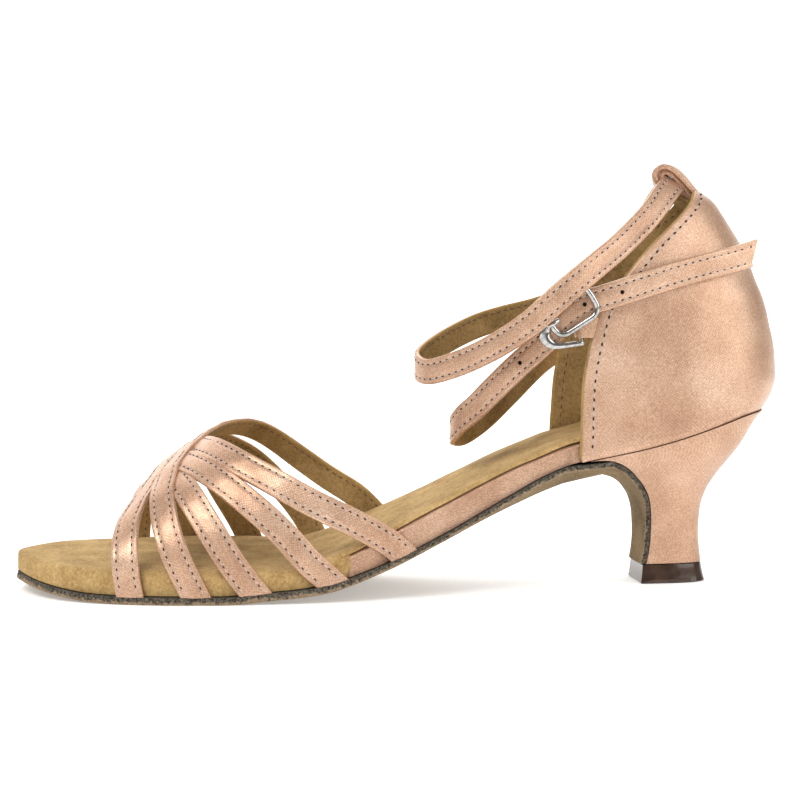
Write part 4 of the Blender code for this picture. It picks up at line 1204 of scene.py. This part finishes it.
def softened(values, run, size):
    # Running mean with a bell-shaped weight, mirrored about both ends
    run = run - run[0]
    gap = np.gradient(run)[None]
    weight = np.exp(-((run[:, None] - run[None]) / size) ** 2) * gap
    low = np.exp(-((run[:, None] + run[None]) / size) ** 2) * gap
    high = np.exp(-((run[:, None] + run[None] - 2 * run[-1]) / size) ** 2) * gap
    total = weight @ values + low @ (2 * values[0] - values) + high @ (2 * values[-1] - values)
    return total / (weight + low + high).sum(axis=1)


def strapRoute(rows):
    # Middle line of a strap on the last, with its facings and its places around the foot
    route = curveThrough([r[0] for r in rows], [r[1] for r in rows])
    around = np.concatenate((np.linspace(-2.7, -1, 34)[:-1], np.linspace(-1, 1, strap["stations"]),
                             np.linspace(1, 2.7, 34)[1:]))
    past = np.maximum(np.abs(around) - 2, 0)
    ends = np.where(around < 0, (route(-2.0) - route(-1.5)) / 0.5, (route(2.0) - route(1.5)) / 0.5)
    along = route(around) + past * ends
    for again in range(2):
        along = softened(along, runLength(lastPoints(along, around)), strap["bend"])
    base, facings = lastPoints(along, around), lastFacings(along, around)
    facings = unit(np.stack([softened(facings[:, k], around, strap["faceBend"]) for k in range(3)], axis=1))
    run = runLength(base)
    base = np.stack([softened(base[:, k], run, strap["ease"]) for k in range(3)], axis=1)
    return around, base, facings, run


def liftOver(base, run, around, laid):
    # How far a strap rises over the straps that are laid already
    lift = np.zeros(len(base))
    for lowBase, lowLift in laid:
        apart = np.linalg.norm(base[:, None] - lowBase[None], axis=2)
        near = apart.argmin(axis=1)
        overlap = np.clip((strap["width"] * 1.08 - apart.min(axis=1)) / (strap["width"] * 0.42), 0, 1)
        overlap = overlap * overlap * (3 - 2 * overlap)
        lift = np.maximum(lift, overlap * (lowLift[near] + strap["step"]))
    return np.maximum(softened(lift, run, strap["liftBend"]), 0) * np.clip((1.05 - np.abs(around)) * 6, 0, 1)


def tuckFeet(rings):
    # The feet go in between the pad and the sole
    level = soleTop(share(rings[..., 0]))
    sunk = np.clip((level + strap["tuckFrom"] - rings[..., 2]) / strap["tuckBy"], 0, 1)
    rings[..., 1] -= np.sign(rings[..., 1]) * sunk * strap["tuck"]
    rings[..., 2] = np.maximum(rings[..., 2], level - strap["footSink"])


def threadHeight(thickness):
    return thickness / 2 + strap["crown"] * 0.6 - strap["groove"]


def sewVampStrap(path, across, out):
    for side in (-1, 1):
        offset = side * (strap["width"] / 2 - strap["stitchInset"])
        line = path + across * offset
        shown = line[:, 2] > soleTop(share(line[:, 0])) + 0.0006
        parts = path[shown], across[shown], out[shown]
        sewRow("vamp", *parts, offset, threadHeight(strap["thickness"]), strap["pitch"])
        if line[len(line) // 4, 0] > path[len(line) // 4, 0]:
            inside = parts[0], parts[1], -parts[2]
            sewRow("vampInside", *inside, offset, strap["thickness"] / 2, strap["pitch"])


def makeVamp():
    laid = []
    profile = strapProfile(strap["width"], strap["thickness"])
    upper = np.clip(profile[:, 1] / (strap["thickness"] / 2), 0, 1)[None]
    for order, rows in enumerate(crossingOrder):
        around, base, facings, run = strapRoute(rows)
        lift = liftOver(base, run, around, laid)
        laid.append((base, lift))
        knot = strap["sink"] * np.exp(-(around / strap["knot"]) ** 2)
        path = base + facings * (lift - knot)[:, None]
        across, out = bandFrame(path, facings)
        rings = bandRings(path, across, out, profile)
        rumpled = (0.6 + 1.6 * np.exp(-(around / strap["rumple"]) ** 2))[:, None]
        crease = wave(rings, strap["rippleSize"], order * 3.0) * rumpled
        rings = rings + out[:, None] * (crease * upper * strap["ripple"])[..., None]
        tuckFeet(rings)
        name = "vampStrap" + str(order + 1)
        data = tube(name, rings, strapPaint(profile, strap["thickness"]))
        finishMesh(name, data, [satin, liningSuede, cutEdge], 60, ["vamp_straps"])
        sewVampStrap(path, across, out)


# The punched holes are given by their distance from the strap's free end
ankle = {"width": 0.0076, "thickness": 0.0015, "span": 0.0095, "height": 0.1240, "endSlant": 0.00470,
         "ripple": 0.000108, "rippleSize": 0.0050, "hole": 0.0013, "holes": (0.0560, 0.0443, 0.0817),
         "sewn": (0.012, 0.991), "endStitch": 0.0022, "endPitch": 0.0019}


def ankleHalf():
    row = counterRows[-2][counterColumns.index("lateral")]
    return shoe["ballWidth"] * row + ankle["span"] / 2


def ankleFrame(perSpan=9):
    rows = [(place(along), ankleHalf() * side, ankle["height"] * height, lean)
            for along, side, height, lean in ankleRows]
    points = smoothPath(rows, perSpan)
    path = points[:, :3]
    ahead = np.gradient(path, axis=0)
    level = unit(np.cross(ahead, np.array([0.0, 0.0, 1.0])))
    lean = np.radians(points[:, 3])[:, None]
    facings = level * np.cos(lean) + np.array([[0.0, 0.0, 1.0]]) * np.sin(lean)
    across, out = bandFrame(path, facings)
    return path, across, out


def makeAnkleStrap():
    path, across, out = ankleFrame()
    profile = strapProfile(ankle["width"], ankle["thickness"])
    rings = bandRings(path, across, out, profile)
    ahead = unit(np.gradient(path, axis=0))
    slant = np.zeros(len(path))
    slant[-3:] = (0.3, 0.7, 1.0)
    slant = slant[:, None] * profile[None, :, 0] / ankle["width"] * ankle["endSlant"]
    rings += ahead[:, None] * slant[..., None]
    upper = np.clip(profile[:, 1] / (ankle["thickness"] / 2), 0, 1)[None]
    crease = wave(rings, ankle["rippleSize"], 11.0) * upper * ankle["ripple"]
    rings = rings + out[:, None] * crease[..., None]
    data = tube("ankleStrapSewn", rings, strapPaint(profile, ankle["thickness"]))
    # The last material is painted shade for the walls and floor of the punched holes
    piece = finishMesh("ankleStrapSewn", data, [satin, liningSuede, cutEdge, paintedHoleShade], 60,
                       ["ankle_strap"])
    sewAnkleStrap(path, across, out, ahead)
    punchHoles(piece, path, out)


def sewAnkleStrap(path, across, out, ahead):
    height, inset = threadHeight(ankle["thickness"]), ankle["width"] / 2 - strap["stitchInset"]
    for side in (-1, 1):
        sewRow("ankle", path, across, out, side * inset, height, strap["pitch"], *ankle["sewn"])
    sewRow("ankleInside", path, across, -out, inset, ankle["thickness"] / 2, strap["pitch"], *ankle["sewn"])
    # One row across the free end
    run = runLength(path)
    back = int(np.searchsorted(run, run[-1] - ankle["endStitch"]))
    steps = np.linspace(-1, 1, 9)[:, None] * inset
    line = path[back] + across[back] * steps + ahead[back] * steps / ankle["width"] * ankle["endSlant"]
    sewRow("ankle", line, across[[back] * 9], out[[back] * 9], 0.0, height, ankle["endPitch"])


def punchHoles(piece, path, out):
    # Round blind holes, their walls and floor dark with painted shade
    run = runLength(path)
    turns = np.linspace(0, 2 * math.pi, 20, endpoint=False)
    punches = []
    for back in ankle["holes"]:
        k = int(np.abs(run[-1] - back - run).argmin())
        side = unit(np.gradient(path, axis=0)[k])
        upward = np.cross(out[k], side)
        rings = [[path[k] + out[k] * step + ankle["hole"] / 2 * (side * math.cos(t) + upward * math.sin(t))
                  for t in turns] for step in (-0.0001, 0.0014)]
        data = tube("punch", rings, [0] * 20)
        turnOut(data)
        data.materials.append(paintedHoleShade)
        punches.append(linked("punch", data))
        cut = piece.modifiers.new("punch", "BOOLEAN")
        cut.operation, cut.solver, cut.object = "DIFFERENCE", "EXACT", punches[-1]
        cut.material_mode = "TRANSFER"
    held = bpy.context.evaluated_depsgraph_get()
    made = bpy.data.meshes.new_from_object(piece.evaluated_get(held))
    piece.modifiers.clear()
    piece.data = made
    for punch in punches:
        bpy.data.objects.remove(punch)


makeVamp()
makeAnkleStrap()
print("stage: straps made")


# Buckle: bent chrome wire, a peg, and a hook that snaps into a satin tab
buckle = {
    "level": 0.655, "ahead": 0.0073, "up": 0.0021, "out": 0.0037, "wire": 0.0014, "length": 0.0155,
    "width": 0.0112, "corner": 0.0030, "tilt": 32.4, "bow": 0.0004, "frameBroad": 1.25, "prong": 0.0036,
    "peg": 0.00078, "hookBroad": 1.45, "hookDeep": 0.85, "tabWidth": 0.0038, "tabThickness": 0.0010,
    "tabTall": 0.0060, "tabRound": 0.0002, "tabFold": 0.00003,
}


def quarterEdge(z):
    levels = np.linspace(0, 1, 60)
    points = np.array([counterPoints(level, -1, np.array([0.0]), 0.0)[0] for level in levels])
    return float(np.interp(z, points[:, 2], points[:, 0]))


buckleLevel = ankle["height"] * buckle["level"] + buckle["up"]
buckleFront = quarterEdge(buckleLevel - 0.7 * buckle["width"]) - shoe["clearance"]
buckleMiddle = np.array([buckleFront - buckle["ahead"], -ankleHalf() - buckle["out"], buckleLevel])


def onBuckle(reach, rise, out):
    tilt = math.radians(buckle["tilt"])
    along = np.array([math.cos(tilt), 0.0, math.sin(tilt)])
    up = np.array([-math.sin(tilt), 0.0, math.cos(tilt)])
    return buckleMiddle + along * reach + up * rise - np.array([0.0, out, 0.0])


def wireRings(path, radius, breadths, depths, sides=14):
    path = np.array(path)
    ways = unit(np.gradient(path, axis=0))
    across = np.array([0.0, 0.0, 1.0])
    rings = []
    for point, way, breadth, depth in zip(path, ways, breadths, depths):
        across = unit(across - way * across.dot(way))
        up = np.cross(way, across)
        turns = np.linspace(0, 2 * math.pi, sides, endpoint=False)
        rings.append([point + radius * (across * breadth * math.cos(t) + up * depth * math.sin(t))
                      for t in turns])
    return np.array(rings)


def frameOutline(long, wide, corner):
    # Middle line of the frame's wire: four corner arcs, each with the straight that follows it
    corners = ((1, 1, 0), (-1, 1, 90), (-1, -1, 180), (1, -1, 270))
    outline = []
    for k, (signX, signZ, first) in enumerate(corners):
        for step in range(9):
            turn = math.radians(first + 11.25 * step)
            outline.append([signX * (long - corner) + corner * math.cos(turn),
                            signZ * (wide - corner) + corner * math.sin(turn)])
        nextX, nextZ = corners[(k + 1) % 4][:2]
        turn = math.radians(first + 90)
        end = [nextX * (long - corner) + corner * math.cos(turn),
               nextZ * (wide - corner) + corner * math.sin(turn)]
        outline += [list(p) for p in np.linspace(outline[-1], end, 8)[1:-1]]
    return outline


def makeFrame(radius):
    wide = buckle["width"] / 2 - radius
    outline = frameOutline(buckle["length"] / 2 - radius, wide, buckle["corner"])
    rings = []
    for k, (reach, rise) in enumerate(outline):
        ahead, behind = outline[(k + 1) % len(outline)], outline[k - 1]
        way = np.array([ahead[0] - behind[0], ahead[1] - behind[1]])
        way = way / np.linalg.norm(way)
        bow = buckle["bow"] * (1 - (rise / wide) ** 2) * (1 if reach > 0 else 0)
        ring = []
        for turn in np.linspace(0, 2 * math.pi, 16, endpoint=False):
            off = radius * buckle["frameBroad"] * math.cos(turn)
            ring.append(onBuckle(reach + bow + way[1] * off, rise - way[0] * off, radius * math.sin(turn)))
        rings.append(ring)
    tubePiece("buckleFrame", rings, chrome, 80, "buckle_frame", True)


def makePeg(radius):
    bar, over = -buckle["length"] / 2 + radius, 1.8 * radius + shoe["clearance"]
    steps = smoothPath(((-0.34, 0.8), (-0.30, 0.8), (0.0, 1.0), (0.30, 0.9), (0.55, 0.65), (0.72, 0.36)), 5)
    path = [onBuckle(bar + buckle["prong"] * step, 0.0, over * out) for step, out in steps]
    fromEnd = np.minimum(np.arange(len(path)), np.arange(len(path))[::-1])
    full = 0.45 + 0.55 * np.sin(np.clip(fromEnd / 4, 0, 1) * math.pi / 2)
    rings = wireRings(path, buckle["peg"], full, full)
    tubePiece("bucklePeg", rings, chrome, 80, "buckle_prong")


def makeHook(radius):
    x, y, foot = tabMiddle()
    rows = [(*onBuckle(reach * buckle["length"], -drop * buckle["length"], 0.0), breadth)
            for reach, drop, breadth in hookRows]
    arm = rows[-1]
    rows.append((x - 0.3 * radius, (arm[1] + y) / 2 - radius / 2, arm[2] - 0.2 * radius, 1.0))
    rows.append((x, y - 0.3 * radius, arm[2], 1.0))
    rows.append((x, y, foot + 0.3 * buckle["tabWidth"], 1.0))
    rows.append((x, y, foot + 0.8 * buckle["tabWidth"], 1.0))
    points = smoothPath(rows, 9)
    broad = points[:, 3] * np.linspace(buckle["hookBroad"], 1.0, len(points))
    rings = wireRings(points[:, :3], radius, broad, np.full(len(points), buckle["hookDeep"]))
    tubePiece("buckleHook", rings, chrome, 80, "buckle_hook")


def makeTab():
    x, y, foot = tabMiddle()
    thick, fold = buckle["tabThickness"], buckle["tabFold"]
    pin = buckle["wire"] / 2 + shoe["clearance"]
    end, reach, close = quarterEdge(foot) - shoe["clearance"], pin + thick, x + 2.6 * pin
    turns = np.radians(np.linspace(90, 270, 21))
    outer = [(end, y + thick)] + [(x + reach * math.cos(t), y + reach * math.sin(t)) for t in turns]
    inner = [(close, y + fold)] + [(x + pin * math.cos(t), y + pin * math.sin(t)) for t in turns]
    outer.append((end, y - thick))
    inner.append((close, y - fold))
    levels = (0.0, 0.04, 0.14, 0.5, 0.86, 0.96, 1.0)
    insets = [buckle["tabRound"] * (1 - math.sin(min(level, 1 - level, 0.14) / 0.14 * math.pi / 2))
              for level in levels]
    rings = []
    for (ax, ay), (bx, by) in zip(outer, inner):
        way = np.array([ax - bx, ay - by])
        way = way / np.linalg.norm(way)
        ring = [(bx + way[0] * inset, by + way[1] * inset, foot + buckle["tabTall"] * level)
                for level, inset in zip(levels, insets)]
        ring += [(ax - way[0] * inset, ay - way[1] * inset, foot + buckle["tabTall"] * level)
                 for level, inset in zip(levels[::-1], insets[::-1])]
        rings.append(ring)
    rings = np.array(rings)
    # The tab's fixed end follows the slanting front edge of the quarter
    edges = np.array([quarterEdge(z) for z in rings[0][:, 2]]) - shoe["clearance"]
    rings[..., 0] += np.clip((rings[..., 0] - close) / (end - close), 0, 1) * (edges - end)[None]
    tubePiece("buckleTab", rings, satin, 50, "buckle_tab", True)


def tabMiddle():
    arm = onBuckle(hookRows[-1][0] * buckle["length"], -hookRows[-1][1] * buckle["length"], 0.0)
    radius = buckle["wire"] / 2
    y = arm[1] + 2 * radius + 3 * shoe["clearance"] + 2 * buckle["tabThickness"]
    return arm[0] + radius, y, arm[2] + radius + 2.6 * shoe["clearance"]


makeFrame(buckle["wire"] / 2)
makePeg(buckle["wire"] / 2)
makeHook(buckle["wire"] / 2)
makeTab()
print("stage: buckle made")


# Stitches by geometry nodes: one thread and one pair of needle holes at each place of a row; the needle holes
# are dark marks of painted shade
stitching = {"length": 0.0017, "width": 0.00040, "height": 0.00030, "turn": 0.10, "hole": 0.00054,
             "holeLength": 0.00100, "holeHeight": 0.00020, "holeTurn": 0.25, "bold": 1.25, "raised": 0.00004,
             "seed": 7}


def sewQuarters():
    levels = np.linspace(0.015, 0.985, 90)
    for side in (-1, 1):
        line, outward = [], []
        for level in levels:
            reaches = np.linspace(0, 0.6, 90)
            points = counterPoints(level, side, reaches, 0.0)
            reach = float(np.interp(counter["stitchInset"], runLength(points), reaches))
            near = counterPoints(level, side, np.array([reach, reach + 0.01]), 0.0)
            deep = counterPoints(level, side, np.array([reach]), layers["wall"])[0]
            line.append(near[0])
            outward.append(near[0] - deep)
        line, outward = np.array(line), unit(np.array(outward))
        sewRow("counter", line, outward * 0, outward, 0.0, stitching["raised"], counter["pitch"])
        sewRow("counterInside", line - outward * layers["wall"], outward * 0, -outward, 0.0,
               stitching["raised"], counter["pitch"])


def stitchTree(name, material):
    tree = bpy.data.node_groups.new(name, "GeometryNodeTree")
    face = tree.interface
    face.new_socket("Geometry", in_out="INPUT", socket_type="NodeSocketGeometry")
    for label, value in (("Length", 0.0016), ("Width", 0.0004), ("Height", 0.0003), ("Turn", 0.1)):
        face.new_socket(label, in_out="INPUT", socket_type="NodeSocketFloat").default_value = value
    face.new_socket("Seed", in_out="INPUT", socket_type="NodeSocketInt").default_value = 1
    face.new_socket("Geometry", in_out="OUTPUT", socket_type="NodeSocketGeometry")
    entry = tree.nodes.new("NodeGroupInput").outputs
    places = addNode(tree, "GeometryNodeMeshToPoints", {"Mesh": entry["Geometry"]})
    bead = addNode(tree, "GeometryNodeMeshUVSphere", {"Segments": 6, "Rings": 4, "Radius": 0.5})
    size = addNode(tree, "ShaderNodeCombineXYZ", {"X": entry["Length"], "Y": entry["Width"],
                                                  "Z": entry["Height"]})
    shaped = addNode(tree, "GeometryNodeTransform", {"Geometry": bead.outputs["Mesh"],
                                                     "Scale": size.outputs[0]})
    along = addNode(tree, "GeometryNodeInputNamedAttribute", {"Name": "ahead"}, data_type="FLOAT_VECTOR")
    out = addNode(tree, "GeometryNodeInputNamedAttribute", {"Name": "outward"}, data_type="FLOAT_VECTOR")
    upright = addNode(tree, "FunctionNodeAlignRotationToVector", {"Vector": out.outputs["Attribute"]},
                      axis="Z")
    facing = addNode(tree, "FunctionNodeAlignRotationToVector",
                     {"Rotation": upright.outputs[0], "Vector": along.outputs["Attribute"]},
                     axis="X", pivot_axis="Z")
    low = addNode(tree, "ShaderNodeMath", {0: entry["Turn"], 1: -1.0}, operation="MULTIPLY")
    chance = addNode(tree, "FunctionNodeRandomValue", data_type="FLOAT")
    tree.links.new(low.outputs[0], chance.inputs[2])
    tree.links.new(entry["Turn"], chance.inputs[3])
    tree.links.new(entry["Seed"], chance.inputs["Seed"])
    skew = addNode(tree, "ShaderNodeCombineXYZ", {"Z": chance.outputs[1]})
    turned = addNode(tree, "FunctionNodeRotateRotation", {"Rotation": facing.outputs[0]},
                     rotation_space="LOCAL")
    tree.links.new(skew.outputs[0], turned.inputs["Rotate By"])
    copies = addNode(tree, "GeometryNodeInstanceOnPoints", {
        "Points": places.outputs["Points"], "Instance": shaped.outputs["Geometry"],
        "Rotation": turned.outputs[0]})
    solid = addNode(tree, "GeometryNodeRealizeInstances", {"Geometry": copies.outputs["Instances"]})
    dressed = addNode(tree, "GeometryNodeSetMaterial", {"Geometry": solid.outputs["Geometry"],
                                                        "Material": material})
    leave = tree.nodes.new("NodeGroupOutput")
    tree.links.new(dressed.outputs["Geometry"], leave.inputs["Geometry"])
    return tree


def sewPiece(name, tree, centres, aheads, outwards, sizes):
    data = bpy.data.meshes.new(name)
    data.from_pydata([tuple(p) for p in centres], [], [])
    for label, values in (("ahead", aheads), ("outward", outwards)):
        layer = data.attributes.new(label, "FLOAT_VECTOR", "POINT")
        layer.data.foreach_set("vector", np.asarray(values, np.float32).ravel())
    seedPoints = linked(name + "Places", data)
    nodes = seedPoints.modifiers.new("stitches", "NODES")
    nodes.node_group = tree
    for item in tree.interface.items_tree:
        if item.in_out == "INPUT" and item.name in sizes:
            nodes[item.identifier] = sizes[item.name]
    held = bpy.context.evaluated_depsgraph_get()
    made = bpy.data.meshes.new_from_object(seedPoints.evaluated_get(held))
    bpy.data.objects.remove(seedPoints)
    made.name = name
    made.shade_smooth()
    piece = linked(name, made)
    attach(piece, "root")
    print("  ", name, len(made.polygons), "faces")


def sewAll():
    holes = stitchTree("holeShadeRows", paintedHoleShade)
    for group, rows in stitchRows.items():
        inner = group.endswith("Inside")
        bold = stitching["bold"] if group == "counter" else 1.0
        centres, aheads, outs = (np.vstack([row[k] for row in rows]) for k in range(3))
        pitches = np.concatenate([np.full(len(row[0]), row[3]) for row in rows])
        sizes = {"Length": stitching["length"], "Width": stitching["width"] * bold,
                 "Height": stitching["height"], "Turn": stitching["turn"], "Seed": stitching["seed"]}
        threads = stitchTree(group + "Rows", darkThread if inner else thread)
        sewPiece(group + "Stitches", threads, centres, aheads, outs, sizes)
        if inner:
            continue
        # Dark marks of painted shade where the needle holes are, between the stitches
        sizes = {"Length": stitching["holeLength"] * bold, "Width": stitching["hole"] * bold,
                 "Height": stitching["holeHeight"], "Turn": stitching["holeTurn"],
                 "Seed": stitching["seed"] + 1}
        between = centres + aheads * pitches[:, None] / 2
        sewPiece(group + "HoleShadeMarks", holes, between, aheads, outs, sizes)


sewQuarters()
sewAll()
print("stage: stitches sewn")


# Camera at the photograph's angle, a pale floor and soft light
view = {"place": (-0.07007, -0.63578, 0.09417), "down": 3.41, "turn": 6.29, "lens": 95.117}
# Each lamp has its power, its size, its place and what it aims at
studio = {
    "floor": (0.95, 0.95, 0.95), "glow": 0.30, "world": 0.25, "sweep": 1.2, "sweepAt": 2.0, "half": 6.0,
    "lamps": {
        "key": (10.6, 0.7, (-0.55, -0.75, 0.95), (0.0, 0.0, 0.05)),
        "fill": (3.3, 0.65, (0.76, -0.52, 0.44), (0.0, 0.0, 0.05)),
        "rim": (2.2, 0.6, (0.35, 0.75, 0.80), (0.0, 0.0, 0.05)),
        "rear": (1.8, 0.8, (-0.60, 0.70, 0.60), (0.0, 0.0, 0.05)),
        "backdrop": (60.0, 2.4, (0.0, 1.2, 2.2), (0.0, 3.4, 0.6)),
    },
}


def makeCamera():
    lens = bpy.data.cameras.new("camera")
    lens.lens, lens.sensor_width = view["lens"], 36.0
    lens.clip_start, lens.clip_end = 0.01, 50.0
    camera = linked("camera", lens)
    camera.location = view["place"]
    camera.rotation_euler = (math.radians(90 - view["down"]), 0.0, math.radians(-view["turn"]))
    bpy.context.scene.camera = camera
    bpy.context.scene.view_settings.view_transform = "Standard"


def makeLight():
    world = bpy.data.worlds.new("studio")
    world.use_nodes = True
    bpy.context.scene.world = world
    background = world.node_tree.nodes["Background"]
    background.inputs["Color"].default_value = (1.0, 1.0, 1.0, 1.0)
    background.inputs["Strength"].default_value = studio["world"]
    for name, (power, size, at, aim) in studio["lamps"].items():
        lamp = bpy.data.lights.new(name, "AREA")
        lamp.shape, lamp.size, lamp.energy = "SQUARE", size, power
        holder = linked(name, lamp)
        holder.location = at
        holder.rotation_euler = (Vector(aim) - Vector(at)).to_track_quat("-Z", "Y").to_euler()


def makeFloor():
    # Flat in front, swept up behind in a quarter of a round
    half, sweep = studio["half"], studio["sweep"]
    steps = [(-half, 0.0)]
    steps += [(sweep * math.sin(t) + studio["sweepAt"], sweep - sweep * math.cos(t))
              for t in np.linspace(0, math.pi / 2, 16)]
    steps.append((studio["sweepAt"] + sweep, half))
    data = bpy.data.meshes.new("floor")
    points = [(x, y, z) for y, z in steps for x in (-half, half)]
    faces = [(2 * k, 2 * k + 1, 2 * k + 3, 2 * k + 2) for k in range(len(steps) - 1)]
    data.from_pydata(points, [], faces)
    data.shade_smooth()
    material, tree, shader = startMaterial("paleFloor", Roughness=0.9, Specular_IOR_Level=0.2)
    shader.inputs["Base Color"].default_value = (*studio["floor"], 1.0)
    shader.inputs["Emission Color"].default_value = (1.0, 1.0, 1.0, 1.0)
    shader.inputs["Emission Strength"].default_value = studio["glow"]
    data.materials.append(material)
    linked("floor", data)


makeCamera()
makeLight()
makeFloor()
print("stage: studio set")
